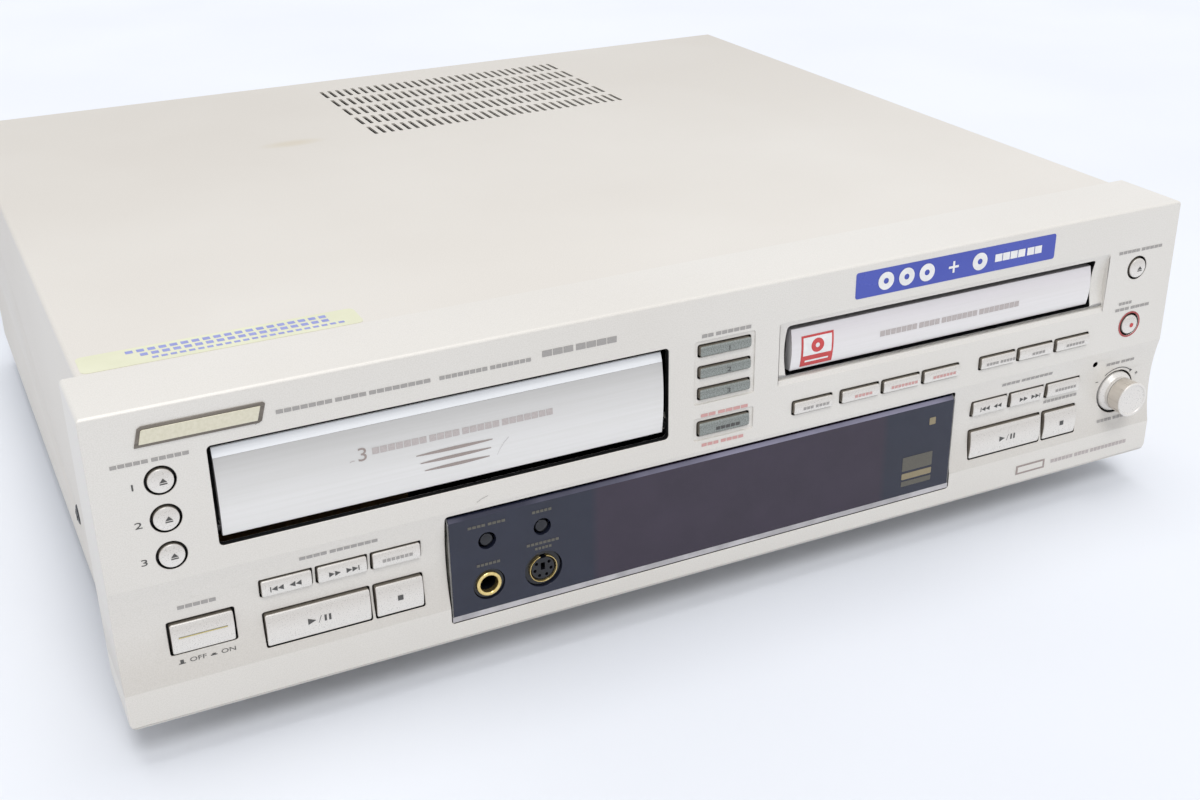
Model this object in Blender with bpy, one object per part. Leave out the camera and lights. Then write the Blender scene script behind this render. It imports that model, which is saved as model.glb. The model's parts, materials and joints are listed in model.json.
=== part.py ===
# A full-width home CD recorder: a three-tray disc changer on the left and a recording drive on the right.
# Metres. X runs along the front from left to right, Y from front to back, Z up from the floor.
# The origin is on the floor under the middle of the whole recorder.

import math

import bmesh
import bpy
from mathutils import Matrix, Vector


# Whole recorder
panel_width = 0.420
panel_height = 0.1093
body_depth = 0.3620
foot_height = 0.0150
knob_reach = 0.0080
socket_reach = 0.0090

# Clearances and cutting
seat_gap = 0.0003
overrun = 0.0020
edge_round = 0.0003
merge_distance = 0.000003

total_depth = knob_reach + body_depth + socket_reach
front = knob_reach - total_depth / 2


def at(x, behind, up):
    """A point from its place along the panel, behind the panel's face and above the panel's lower edge."""
    return Vector((x, front + behind, foot_height + up))


# Starting clean

for leftover in list(bpy.data.objects):
    bpy.data.objects.remove(leftover, do_unlink=True)


# Materials

def material(name, colour, roughness, metallic=0.0, alpha=1.0):
    made = bpy.data.materials.new(name)
    made.use_nodes = True
    shader = made.node_tree.nodes["Principled BSDF"]
    shader.inputs["Base Color"].default_value = (*colour, 1.0)
    shader.inputs["Roughness"].default_value = roughness
    shader.inputs["Metallic"].default_value = metallic
    shader.inputs["Alpha"].default_value = alpha
    return made


champagne_plastic = material("champagne_plastic", (0.68, 0.66, 0.62), 0.42, 0.15)
champagne_steel = material("champagne_steel", (0.70, 0.68, 0.64), 0.48, 0.1)
satin_key = material("satin_key", (0.70, 0.68, 0.65), 0.35, 0.25)
grey_green_key = material("grey_green_key", (0.27, 0.29, 0.28), 0.3, 0.6)
satin_aluminium = material("satin_aluminium", (0.72, 0.70, 0.67), 0.3, 0.7)
smoked_acrylic = material("smoked_acrylic", (0.03, 0.035, 0.05), 0.06, 0.0, 0.85)
black_plastic = material("black_plastic", (0.02, 0.02, 0.022), 0.45)
grey_plastic = material("grey_plastic", (0.08, 0.08, 0.085), 0.5)
zinc_steel = material("zinc_steel", (0.55, 0.56, 0.57), 0.4, 0.9)
gold_plate = material("gold_plate", (0.83, 0.65, 0.28), 0.25, 1.0)
board_green = material("board_green", (0.05, 0.16, 0.09), 0.5)
board_tan = material("board_tan", (0.42, 0.30, 0.16), 0.6)
winding_copper = material("winding_copper", (0.45, 0.20, 0.10), 0.4, 0.6)
foot_rubber = material("foot_rubber", (0.03, 0.03, 0.03), 0.8)


# Building helpers

def finish(name, mesh_builder, finish_material, round_piece=False):
    """Makes the named object from a bmesh, at the origin, with outward faces."""
    bmesh.ops.recalc_face_normals(mesh_builder, faces=mesh_builder.faces)
    mesh = bpy.data.meshes.new(name)
    mesh_builder.to_mesh(mesh)
    mesh_builder.free()
    mesh.materials.append(finish_material)
    if round_piece:
        mesh.shade_smooth()
        mesh.set_sharp_from_angle(angle=math.radians(35))
    piece = bpy.data.objects.new(name, mesh)
    bpy.context.scene.collection.objects.link(piece)
    return piece


def add_prism(mesh_builder, outline, shift):
    """Adds a closed prism: a flat outline of points and the same outline moved by shift."""
    near = [mesh_builder.verts.new(point) for point in outline]
    far = [mesh_builder.verts.new(Vector(point) + shift) for point in outline]
    mesh_builder.faces.new(near)
    mesh_builder.faces.new(list(reversed(far)))
    for index in range(len(outline)):
        following = (index + 1) % len(outline)
        mesh_builder.faces.new((near[following], near[index], far[index], far[following]))


def add_box(mesh_builder, low, high):
    outline = [
        (low.x, low.y, low.z),
        (high.x, low.y, low.z),
        (high.x, high.y, low.z),
        (low.x, high.y, low.z),
    ]
    add_prism(mesh_builder, outline, Vector((0, 0, high.z - low.z)))


def arc(centre_across, centre_up, radius, start, end, steps):
    """Points of an arc in a plane, from start to end in degrees."""
    points = []
    for step in range(steps + 1):
        angle = math.radians(start + (end - start) * step / steps)
        points.append((centre_across + radius * math.cos(angle), centre_up + radius * math.sin(angle)))
    return points


def rounded_outline(left, right, low, high, radii, steps):
    """A rectangle in the plane of the panel; radii go lower left, lower right, upper right, upper left."""
    corners = (
        (left, low, 1, 1, 180),
        (right, low, -1, 1, 270),
        (right, high, -1, -1, 0),
        (left, high, 1, -1, 90),
    )
    points = []
    for (across, up, inward_x, inward_z, start), radius in zip(corners, radii):
        points += arc(across + inward_x * radius, up + inward_z * radius, radius, start, start + 90, steps)
    return points


def across_panel(points, behind):
    return [at(across, behind, up) for across, up in points]


def add_window_prism(mesh_builder, left, right, low, high, radius, steps, near, far):
    """A prism along Y with a rounded rectangular outline."""
    outline = rounded_outline(left, right, low, high, [radius] * 4, steps)
    add_prism(mesh_builder, across_panel(outline, near), Vector((0, far - near, 0)))


def turned(mesh_builder, profile, centre, along, segments):
    """Turns a profile of (distance along, radius) about an axis; a zero radius closes an end."""
    side = Vector((1, 0, 0)) if abs(along.x) < abs(along.z) + abs(along.y) else Vector((0, 1, 0))
    across = along.cross(side).normalized()
    other = along.cross(across).normalized()
    rings = []
    for distance, radius in profile:
        if radius == 0:
            rings.append([mesh_builder.verts.new(centre + along * distance)])
            continue
        ring = []
        for index in range(segments):
            angle = math.tau * index / segments
            spoke = across * math.cos(angle) + other * math.sin(angle)
            ring.append(mesh_builder.verts.new(centre + along * distance + spoke * radius))
        rings.append(ring)
    for near, far in zip(rings, rings[1:]):
        for index in range(segments):
            following = (index + 1) % segments
            corners = [near[index % len(near)], near[following % len(near)]]
            corners += [far[following % len(far)], far[index % len(far)]]
            corners = list(dict.fromkeys(corners))
            if len(corners) > 2:
                mesh_builder.faces.new(corners)


def boolean(target, tool, operation):
    """Applies one exact Boolean to the target and removes the tool."""
    tool.hide_render = True
    tool.display_type = "WIRE"
    modifier = target.modifiers.new(operation.lower(), "BOOLEAN")
    modifier.operation = operation
    modifier.solver = "EXACT"
    modifier.object = tool
    evaluated = target.evaluated_get(bpy.context.evaluated_depsgraph_get())
    result = bpy.data.meshes.new_from_object(evaluated)
    target.modifiers.clear()
    target.data = result
    bpy.data.objects.remove(tool, do_unlink=True)


def carve(target, build_tool):
    """Cuts away what build_tool adds to an empty mesh."""
    tool_builder = bmesh.new()
    build_tool(tool_builder)
    boolean(target, finish(target.name + "_cutter", tool_builder, target.data.materials[0]), "DIFFERENCE")


def weld(target, build_tool):
    """Joins what build_tool adds to an empty mesh onto the target."""
    tool_builder = bmesh.new()
    build_tool(tool_builder)
    boolean(target, finish(target.name + "_addition", tool_builder, target.data.materials[0]), "UNION")


def pivot(piece, point):
    """Puts the piece's origin on its joint axis, with the mesh where it was."""
    piece.data.transform(Matrix.Translation(-point))
    piece.location = point


# Sheet steel: sizes of the top cover, the chassis pan and the rear panel

sheet = 0.0010
cover_sheet = 0.0009
cover_inset = 0.0049
cover_step = 0.0008
cover_low = 0.0010
cover_front_gap = 0.0004
cover_bend = 0.0014
pan_front = 0.0095
pan_flange = 0.0095
rear_inset = 0.0012
vent_columns = 32
vent_rows = 5
vent_pitch = 0.00408
vent_row_pitch = 0.0189
vent_width = 0.0018
vent_length = 0.0140
vent_centre_x = 0.0275
vent_rear_margin = 0.0289
rib_count = 2
rib_width = 0.0100
rib_height = 0.0024
rib_margin = 0.0300

cover_width = panel_width - 2 * cover_inset
vent_first_row = body_depth - vent_rear_margin - (vent_rows - 1) * vent_row_pitch


# Front panel: one deep moulding whose top, sides and underside wrap back over the body

cap_depth = 0.0318
panel_wall = 0.0028
top_edge_radius = 0.0012
lower_corner_radius = 0.0033
upper_corner_radius = 0.0014
scoop_low = 0.0135
scoop_high = 0.0505
scoop_sagitta = 0.0024
scoop_steps = 8
rear_rim_depth = 0.0040

scoop_centre = (scoop_low + scoop_high) / 2
scoop_half = (scoop_high - scoop_low) / 2
scoop_radius = (scoop_half ** 2 + scoop_sagitta ** 2) / (2 * scoop_sagitta)


def scoop_depth(up):
    """How far the scooped band lies behind the panel's face at a height."""
    offset = up - scoop_centre
    if abs(offset) > scoop_half:
        return 0.0
    return math.sqrt(scoop_radius ** 2 - offset ** 2) - (scoop_radius - scoop_sagitta)


def scoop_line(shift):
    points = []
    for step in range(scoop_steps + 1):
        up = scoop_low + 2 * scoop_half * step / scoop_steps
        points.append((scoop_depth(up) + shift, up))
    return points


# Openings in the front panel. The select keys stand in the middle, and what lies left and right of them
# is placed from the panel's ends: an end margin is measured from the nearer end.

panel_half = panel_width / 2
select_key_left = -0.0067
select_key_width = 0.0212

changer_end_margin = 0.0352
changer_select_gap = 0.0115
changer_low = 0.0583
changer_high = 0.0927
changer_corner = 0.0015
changer_left = -panel_half + changer_end_margin
changer_right = select_key_left - changer_select_gap

recorder_end_margin = 0.0395
select_recorder_gap = 0.0153
recorder_low = 0.0712
recorder_high = 0.0910
recorder_corner = 0.0014
recorder_left = select_key_left + select_key_width + select_recorder_gap
recorder_right = panel_half - recorder_end_margin

# The concave surround is a little wider than the recorder's opening on each side
surround_left_margin = 0.0038
surround_right_margin = 0.0060
surround_low_margin = 0.0025
surround_high_margin = 0.0020
surround_sagitta = 0.0038
surround_steps = 10
surround_left = recorder_left - surround_left_margin
surround_right = recorder_right + surround_right_margin
surround_low = recorder_low - surround_low_margin
surround_high = recorder_high + surround_high_margin

# Rectangular keys
key_clearance = 0.0004
key_corner = 0.0005
key_proud = 0.0016
key_dish = 0.0005
key_travel = 0.0006
key_flange = 0.0011
key_side_flange = 0.0007
key_flange_depth = 0.0014
key_stem = 0.0030
key_gap = 0.0010
row_start_margin = 0.0024
row_end_margin = 0.0394
mode_group_gap = 0.0032
end_group_gap = 0.0094
control_key_height = 0.0068
control_key_low = 0.0352
play_key_height = 0.0126
play_key_low = 0.0168
changer_keys_margin = 0.0457

# The row under the recorder has one key, a group of three and another group of three, all of one width
row_key_height = 0.0056
row_key_low = 0.0560
mode_key_left = recorder_left + row_start_margin
row_right = panel_half - row_end_margin
row_gaps = mode_group_gap + end_group_gap + 4 * key_gap
control_key_width = (row_right - mode_key_left - row_gaps) / 7
column_pitch = control_key_width + key_gap
red_keys_left = mode_key_left + control_key_width + mode_group_gap
recorder_keys_left = row_right - control_key_width - 2 * column_pitch
changer_keys_left = -panel_half + changer_keys_margin

keys_window_gap = 0.0086
window_keys_gap = 0.0092
window_low = 0.0072
window_high = 0.0487
window_corner = 0.0012
window_left = changer_keys_left + 2 * column_pitch + control_key_width + keys_window_gap
window_right = recorder_keys_left - window_keys_gap

select_key_height = 0.0047
select_key_low = 0.0703
select_key_pitch = 0.0081
start_key_height = 0.0058
start_key_low = 0.0562
pocket_margin = 0.0014
pocket_depth = 0.0006

power_end_margin = 0.0159
power_width = 0.0214
power_low = 0.0226
power_height = 0.0120
power_travel = 0.0030
power_left = -panel_half + power_end_margin

# Round buttons
eject_end_margin = 0.0207
eject_x = -panel_half + eject_end_margin
eject_low = 0.0592
eject_pitch = 0.01285
right_button_margin = 0.0186
right_button_x = panel_half - right_button_margin
recorder_eject_up = 0.0847
record_up = 0.0607
round_hole = 0.0096
round_clearance = 0.0005
round_dish = 0.0006
round_proud = 0.0008
round_segments = 12
dish_ring_share = 0.6

# Recording level knob
knob_end_margin = 0.0188
knob_x = panel_half - knob_end_margin
knob_up = 0.0303
knob_hole = 0.0187
knob_flange = 0.0172
knob_body = 0.0146
knob_waist = 0.0140
knob_flange_depth = 0.0014
knob_push = 0.0008
sensor_end_margin = 0.0323
sensor_x = panel_half - sensor_end_margin
sensor_up = 0.0452
sensor_hole = 0.0024


def key_place(left, low, width, height, travel, finish_material):
    return {
        "left": left,
        "right": left + width,
        "low": low,
        "high": low + height,
        "travel": travel,
        "material": finish_material,
    }


keys = {}
for side, start in (("changer", changer_keys_left), ("recorder", recorder_keys_left)):
    for column, use in enumerate(("back", "forward", "display")):
        keys[side + "_" + use + "_key"] = key_place(
            start + column * column_pitch, control_key_low, control_key_width, control_key_height,
            key_travel, satin_key,
        )
    keys[side + "_play_key"] = key_place(
        start, play_key_low, column_pitch + control_key_width, play_key_height, key_travel, satin_key,
    )
    keys[side + "_stop_key"] = key_place(
        start + 2 * column_pitch, play_key_low, control_key_width, play_key_height, key_travel, satin_key,
    )
keys["record_mode_key"] = key_place(
    mode_key_left, row_key_low, control_key_width, row_key_height, key_travel, satin_key,
)
for column, use in enumerate(("erase", "finalize", "synchro")):
    keys[use + "_key"] = key_place(
        red_keys_left + column * column_pitch, row_key_low, control_key_width, row_key_height,
        key_travel, satin_key,
    )
for column, use in enumerate(("auto_space", "name", "menu")):
    keys[use + "_key"] = key_place(
        recorder_keys_left + column * column_pitch, row_key_low, control_key_width, row_key_height,
        key_travel, satin_key,
    )
for row in range(3):
    keys["disc_" + str(3 - row) + "_key"] = key_place(
        select_key_left, select_key_low + row * select_key_pitch, select_key_width, select_key_height,
        key_travel, grey_green_key,
    )
keys["copy_start_key"] = key_place(
    select_key_left, start_key_low, select_key_width, start_key_height, key_travel, grey_green_key,
)
keys["power_button"] = key_place(
    power_left, power_low, power_width, power_height, power_travel, satin_key,
)

round_buttons = {}
for row in range(3):
    round_buttons["eject_" + str(3 - row) + "_button"] = (eject_x, eject_low + row * eject_pitch)
round_buttons["recorder_eject_button"] = (right_button_x, recorder_eject_up)
round_buttons["record_button"] = (right_button_x, record_up)

# Changer door and its hinge
door_side_gap = 0.0016
door_top_gap = 0.0017
door_low_gap = 0.0022
door_recess = 0.0008
door_thickness = 0.0022
door_dish = 0.0007
door_strip_height = 0.0026
door_strip_slope = 0.0013
door_steps = 8
hinge_behind = 0.0045
hinge_up = 0.0626
hinge_pin = 0.0030
hinge_pin_length = 0.0042
hinge_pin_gap = 0.00025
hinge_ear = 0.0022
hinge_arm = 0.0030
hinge_pin_play = 0.0001

surround_half = (surround_high - surround_low) / 2
surround_radius = (surround_half ** 2 + surround_sagitta ** 2) / (2 * surround_sagitta)
surround_centre = (surround_high + surround_low) / 2


def build_front_panel():
    outer = bmesh.new()
    profile = [(cap_depth, 0.0), (top_edge_radius, 0.0), (0.0, top_edge_radius)]
    profile += scoop_line(0.0)
    profile += arc(top_edge_radius, panel_height - top_edge_radius, top_edge_radius, 180, 90, 3)
    profile.append((cap_depth, panel_height))
    add_prism(outer, [at(-panel_half, behind, up) for behind, up in profile], Vector((panel_width, 0, 0)))
    panel = finish("front_panel", outer, champagne_plastic)

    front_view = bmesh.new()
    radii = (lower_corner_radius, lower_corner_radius, upper_corner_radius, upper_corner_radius)
    outline = rounded_outline(-panel_half, panel_half, 0.0, panel_height, radii, 4)
    add_prism(front_view, across_panel(outline, -overrun), Vector((0, cap_depth + 2 * overrun, 0)))
    boolean(panel, finish("corner_form", front_view, champagne_plastic), "INTERSECT")

    def hollow(tool):
        inside = [(cap_depth - rear_rim_depth, panel_wall), (panel_wall, panel_wall)]
        inside += scoop_line(panel_wall)
        inside.append((panel_wall, panel_height - panel_wall))
        inside.append((cap_depth - rear_rim_depth, panel_height - panel_wall))
        left = -panel_half + panel_wall
        add_prism(tool, [at(left, behind, up) for behind, up in inside], Vector((-2 * left, 0, 0)))

    def rear_mouth(tool):
        half = cover_width / 2 - cover_sheet
        add_box(
            tool, at(-half, cap_depth - rear_rim_depth - overrun, panel_wall),
            at(half, cap_depth + overrun, panel_height - panel_wall),
        )

    carve(panel, hollow)
    carve(panel, rear_mouth)
    weld(panel, panel_bosses)
    carve(panel, panel_pockets)
    carve(panel, panel_holes)
    carve(panel, hinge_holes)
    return panel


def panel_bosses(tool):
    """Ears for the changer door's pins and a collar behind the recorder's scooped surround."""
    for side, edge in ((-1, changer_left), (1, changer_right)):
        inner = edge + side * seat_gap
        outer = inner + side * hinge_ear
        low = at(min(inner, outer), panel_wall - overrun, hinge_up - hinge_arm)
        high = at(max(inner, outer), hinge_behind + hinge_arm, hinge_up + hinge_arm)
        add_box(tool, low, high)
    rim = panel_wall
    collar_low = at(surround_left - rim, panel_wall - overrun / 2, surround_low - rim)
    collar_high = at(surround_right + rim, surround_sagitta + panel_wall, surround_high + rim)
    add_box(tool, collar_low, collar_high)


def panel_pockets(tool):
    """The recorder's concave surround and the two shallow pockets round the select keys."""
    swing = math.degrees(math.asin((surround_half + edge_round) / surround_radius))
    depth_centre = surround_sagitta - surround_radius
    scoop = arc(depth_centre, surround_centre, surround_radius, -swing, swing, surround_steps)
    scoop = [(-overrun, scoop[0][1])] + scoop + [(-overrun, scoop[-1][1])]
    width = Vector((surround_right - surround_left, 0, 0))
    add_prism(tool, [at(surround_left, behind, up) for behind, up in scoop], width)
    pockets = (
        (select_key_low, select_key_low + 2 * select_key_pitch + select_key_height),
        (start_key_low, start_key_low + start_key_height),
    )
    for low, high in pockets:
        add_window_prism(
            tool, select_key_left - pocket_margin, select_key_left + select_key_width + pocket_margin,
            low - pocket_margin, high + pocket_margin, key_corner, 2, -overrun, pocket_depth,
        )


def panel_holes(tool):
    """Every opening that goes right through the panel's face."""
    through = surround_sagitta + panel_wall + overrun
    add_window_prism(
        tool, changer_left, changer_right, changer_low, changer_high, changer_corner, 3, -overrun, through,
    )
    add_window_prism(
        tool, recorder_left, recorder_right, recorder_low, recorder_high, recorder_corner, 3,
        -overrun, through,
    )
    add_window_prism(
        tool, window_left, window_right, window_low, window_high, window_corner, 2, -overrun, through,
    )
    for place in keys.values():
        add_window_prism(
            tool, place["left"], place["right"], place["low"], place["high"], key_corner, 1,
            -overrun, through,
        )
    for x, up in round_buttons.values():
        hole = [(-overrun, 0), (-overrun, round_hole / 2), (through, round_hole / 2), (through, 0)]
        turned(tool, hole, at(x, 0, up), Vector((0, 1, 0)), 20)
    for x, up, width, segments in (
        (knob_x, knob_up, knob_hole, 28),
        (sensor_x, sensor_up, sensor_hole, 8),
    ):
        hole = [(-overrun, 0), (-overrun, width / 2), (through, width / 2), (through, 0)]
        turned(tool, hole, at(x, 0, up), Vector((0, 1, 0)), segments)


def hinge_holes(tool):
    pin_hole = hinge_pin / 2 + hinge_pin_gap
    for edge, side in ((changer_left, -1), (changer_right, 1)):
        start = at(edge - side * overrun, hinge_behind, hinge_up)
        length = overrun + seat_gap + hinge_ear + overrun
        bore = [(0, 0), (0, pin_hole), (length, pin_hole), (length, 0)]
        turned(tool, bore, start, Vector((side, 0, 0)), 12)


front_panel = build_front_panel()


# Keys: each is a dished cap, a wider flange that keeps it behind the panel, and a stem towards its switch

board_behind = 0.0165
board_thickness = 0.0016
switch_height = 0.0035
switch_width = 0.0060
switch_gap = 0.0003


def build_key(name, place):
    left = place["left"] + key_clearance
    right = place["right"] - key_clearance
    low = place["low"] + key_clearance
    high = place["high"] - key_clearance
    middle_x = (left + right) / 2
    middle_up = (low + high) / 2
    surface = scoop_depth(middle_up)
    if place["material"] is grey_green_key:
        surface = pocket_depth
    face = surface - key_proud
    deepest = max(scoop_depth(place["low"]), scoop_depth(place["high"]), surface)
    flange_near = deepest + panel_wall + seat_gap
    flange_far = flange_near + key_flange_depth
    stem_end = board_behind - switch_height - switch_gap - place["travel"]
    builder = bmesh.new()
    columns = []
    steps = 3
    dish_radius = ((high - low) ** 2 / 4 + key_dish ** 2) / (2 * key_dish)
    for x in (left, right):
        column = []
        for step in range(steps + 1):
            up = low + (high - low) * step / steps
            sink = math.sqrt(dish_radius ** 2 - (up - middle_up) ** 2) - (dish_radius - key_dish)
            column.append(builder.verts.new(at(x, face + sink, up)))
        columns.append(column)
    dished_faces = []
    for step in range(steps):
        corners = (columns[0][step], columns[1][step], columns[1][step + 1], columns[0][step + 1])
        dished_faces.append(builder.faces.new(corners))
    side = key_side_flange
    sections = (
        (left, right, low, high, flange_near),
        (left - side, right + side, low - key_flange, high + key_flange, flange_near),
        (left - side, right + side, low - key_flange, high + key_flange, flange_far),
        (middle_x - key_stem / 2, middle_x + key_stem / 2, middle_up - key_stem / 2,
         middle_up + key_stem / 2, flange_far),
        (middle_x - key_stem / 2, middle_x + key_stem / 2, middle_up - key_stem / 2,
         middle_up + key_stem / 2, stem_end),
    )
    rings = []
    for ring_left, ring_right, ring_low, ring_high, behind in sections:
        corners = (
            (ring_left, ring_low), (ring_right, ring_low), (ring_right, ring_high), (ring_left, ring_high),
        )
        rings.append([builder.verts.new(at(x, behind, up)) for x, up in corners])
    first = rings[0]
    builder.faces.new((columns[1][0], columns[0][0], first[0], first[1]))
    builder.faces.new((columns[0][-1], columns[1][-1], first[2], first[3]))
    builder.faces.new(columns[0] + [first[3], first[0]])
    builder.faces.new(list(reversed(columns[1])) + [first[1], first[2]])
    for near, far in zip(rings, rings[1:]):
        for index in range(4):
            following = (index + 1) % 4
            builder.faces.new((near[index], near[following], far[following], far[index]))
    builder.faces.new(rings[-1])
    rim = set()
    for dished in dished_faces:
        for edge in dished.edges:
            if any(neighbour not in dished_faces for neighbour in edge.link_faces):
                rim.add(edge)
    bmesh.ops.bevel(builder, geom=list(rim), offset=edge_round, segments=1, affect="EDGES")
    key = finish(name, builder, place["material"], True)
    pivot(key, at(middle_x, face, middle_up))
    return key


for name, place in keys.items():
    build_key(name, place)


def build_round_button(name, x, up, radius, dish, face, flange_near, button_material):
    """A round cap with a dished face, a flange behind the panel and a stem towards its switch."""
    flange_far = flange_near + key_flange_depth
    stem_end = board_behind - switch_height - switch_gap - key_travel
    profile = [
        (face + dish, 0),
        (face + dish / 2, radius * dish_ring_share),
        (face, radius - edge_round),
        (face + edge_round, radius),
        (flange_near, radius),
        (flange_near, radius + key_flange),
        (flange_far, radius + key_flange),
        (flange_far, key_stem / 2),
        (stem_end, key_stem / 2),
        (stem_end, 0),
    ]
    builder = bmesh.new()
    turned(builder, profile, at(x, 0, up), Vector((0, 1, 0)), round_segments)
    button = finish(name, builder, button_material, True)
    pivot(button, at(x, face, up))
    return button


for name, (x, up) in round_buttons.items():
    build_round_button(
        name, x, up, round_hole / 2 - round_clearance, round_dish, -round_proud, panel_wall + seat_gap,
        satin_key,
    )


# Display window: smoked acrylic, flush with the panel's face and proud of the scoop

window_clearance = 0.0004
window_front = 0.0002
window_thickness = 0.0030
window_top_gap = 0.0012
window_bevel = 0.0016
jack_margin = 0.0143
socket_pitch = 0.0203
jack_x = window_left + jack_margin
din_x = jack_x + socket_pitch
window_button_x = (jack_x, din_x)
window_button_up = 0.0363
window_button_hole = 0.0064
window_button_clearance = 0.0006
window_button_dish = 0.0004
window_flange = 0.0012

jack_up = 0.0192
jack_ring = 0.0092
jack_bore = 0.0064
jack_recess = 0.0116
jack_depth = 0.0160
jack_body = 0.0120

din_up = 0.0195
din_recess = 0.0140
din_ring = 0.0104
din_ring_wall = 0.0005
din_insert = 0.0088
din_depth = 0.0070
din_pin_count = 6
din_pin_spread = 52
din_pin_hole = 0.0012
din_pin_circle = 0.0062
din_key_width = 0.0016
din_key_height = 0.0028
recess_lip = 0.0008

slab_left = window_left + window_clearance
slab_right = window_right - window_clearance
slab_low = window_low + window_clearance
slab_high = window_high - window_top_gap
window_back = scoop_sagitta + panel_wall + window_flange
window_rear = scoop_sagitta + panel_wall + seat_gap + window_thickness


def build_display_window():
    """A bevelled slab on a thicker back plate that spreads behind the opening."""
    profile = [
        (window_front, slab_low),
        (window_front, slab_high - window_bevel),
        (window_front + window_bevel, slab_high),
        (window_back, slab_high),
        (window_back, slab_low),
    ]
    builder = bmesh.new()
    outline = [at(slab_left, behind, up) for behind, up in profile]
    add_prism(builder, outline, Vector((slab_right - slab_left, 0, 0)))
    window = finish("display_window", builder, smoked_acrylic)

    def back_plate(tool):
        edge = window_flange
        near = window_rear - window_thickness
        add_box(
            tool, at(slab_left - edge, near, slab_low - edge),
            at(slab_right + edge, window_rear, slab_high + edge),
        )

    weld(window, back_plate)

    def holes(tool):
        far = window_back + window_thickness + overrun
        places = [(x, window_button_up, window_button_hole) for x in window_button_x]
        places += [(jack_x, jack_up, jack_recess), (din_x, din_up, din_recess)]
        for x, up, width in places:
            bore = [(-overrun, 0), (-overrun, width / 2), (far, width / 2), (far, 0)]
            turned(tool, bore, at(x, 0, up), Vector((0, 1, 0)), 20)

    carve(window, holes)
    return window


build_display_window()
for name, x in zip(("play_mode_button", "input_button"), window_button_x):
    build_round_button(
        name, x, window_button_up, window_button_hole / 2 - window_button_clearance, window_button_dish,
        window_front + edge_round, window_rear + seat_gap, black_plastic,
    )


# Phone jack: a gold ring round a bore, in a black body that fills its hole in the window

def build_phone_jack():
    body_radius = jack_recess / 2 - seat_gap
    ring_radius = jack_ring / 2
    floor = window_front + recess_lip
    profile = [
        (floor, jack_bore / 2),
        (window_front - edge_round, jack_bore / 2),
        (window_front - edge_round, ring_radius),
        (floor, ring_radius),
        (floor, body_radius),
        (window_rear + seat_gap, body_radius),
        (window_rear + seat_gap, jack_body / 2 + seat_gap),
        (jack_depth, jack_body / 2 + seat_gap),
        (jack_depth, 0),
        (jack_depth - recess_lip, 0),
        (jack_depth - recess_lip, jack_bore / 2),
        (floor, jack_bore / 2),
    ]
    builder = bmesh.new()
    turned(builder, profile, at(jack_x, 0, jack_up), Vector((0, 1, 0)), 18)
    bmesh.ops.remove_doubles(builder, verts=builder.verts, dist=merge_distance)
    return finish("phone_jack", builder, gold_plate, True)


build_phone_jack()


# Keyboard socket: a round socket with six pin holes and a key block inside a thin metal ring

def build_keyboard_socket():
    floor = window_front + recess_lip
    body_radius = din_recess / 2 - seat_gap
    ring_outer = din_ring / 2
    ring_inner = ring_outer - din_ring_wall
    insert = din_insert / 2
    groove = floor + din_depth - recess_lip
    profile = [
        (floor, 0),
        (floor, insert),
        (groove, insert),
        (groove, ring_inner),
        (window_front, ring_inner),
        (window_front, ring_outer),
        (floor, ring_outer),
        (floor, body_radius),
        (board_behind - seat_gap, body_radius),
        (board_behind - seat_gap, 0),
    ]
    builder = bmesh.new()
    turned(builder, profile, at(din_x, 0, din_up), Vector((0, 1, 0)), 18)
    socket = finish("keyboard_socket", builder, black_plastic, True)

    def pin_holes(tool):
        for index in range(din_pin_count):
            angle = math.radians(-90 + din_pin_spread * (index - (din_pin_count - 1) / 2))
            x = din_x + din_pin_circle / 2 * math.cos(angle)
            up = din_up + din_pin_circle / 2 * math.sin(angle)
            hole = [
                (0, 0),
                (0, din_pin_hole / 2),
                (groove, din_pin_hole / 2),
                (groove, 0),
            ]
            turned(tool, hole, at(x, floor - overrun / 2, up), Vector((0, 1, 0)), 6)
        key_low = at(din_x - din_key_width / 2, floor - overrun / 2, din_up - din_key_height / 4)
        key_high = at(din_x + din_key_width / 2, groove, din_up + din_key_height * 3 / 4)
        add_box(tool, key_low, key_high)

    carve(socket, pin_holes)
    return socket


build_keyboard_socket()


# Knob and its shaft: the shaft's ring fills the panel's hole, the knob turns on its hub, and both push in

shaft_radius = 0.0030
shaft_clearance = 0.00025
encoder_radius = 0.0060
knob_split = 0.0012
knob_hub_radius = 0.0050
knob_hub_length = 0.0032
knob_segments = 20
knob_hollow_share = 0.84
knob_rim_share = 0.88
knob_surface = scoop_depth(knob_up)
knob_back = knob_surface + knob_flange_depth
shaft_end = board_behind - switch_gap - knob_push


def build_knob():
    """The part that is gripped, in front of the panel, with a bore for the hub."""
    body = knob_body / 2
    bore = knob_hub_radius + shaft_clearance
    profile = [
        (-knob_reach + edge_round, 0),
        (-knob_reach + edge_round, body * knob_hollow_share),
        (-knob_reach, body * knob_rim_share),
        (-knob_reach + edge_round, body - edge_round),
        (-knob_reach + edge_round * 3, body),
        (-knob_split, knob_waist / 2),
        (-knob_split, bore),
        (-knob_split - knob_hub_length, bore),
        (-knob_split - knob_hub_length, 0),
    ]
    builder = bmesh.new()
    turned(builder, profile, at(knob_x, 0, knob_up), Vector((0, 1, 0)), knob_segments)
    knob = finish("level_knob", builder, satin_aluminium, True)
    pivot(knob, at(knob_x, knob_back, knob_up))


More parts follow.
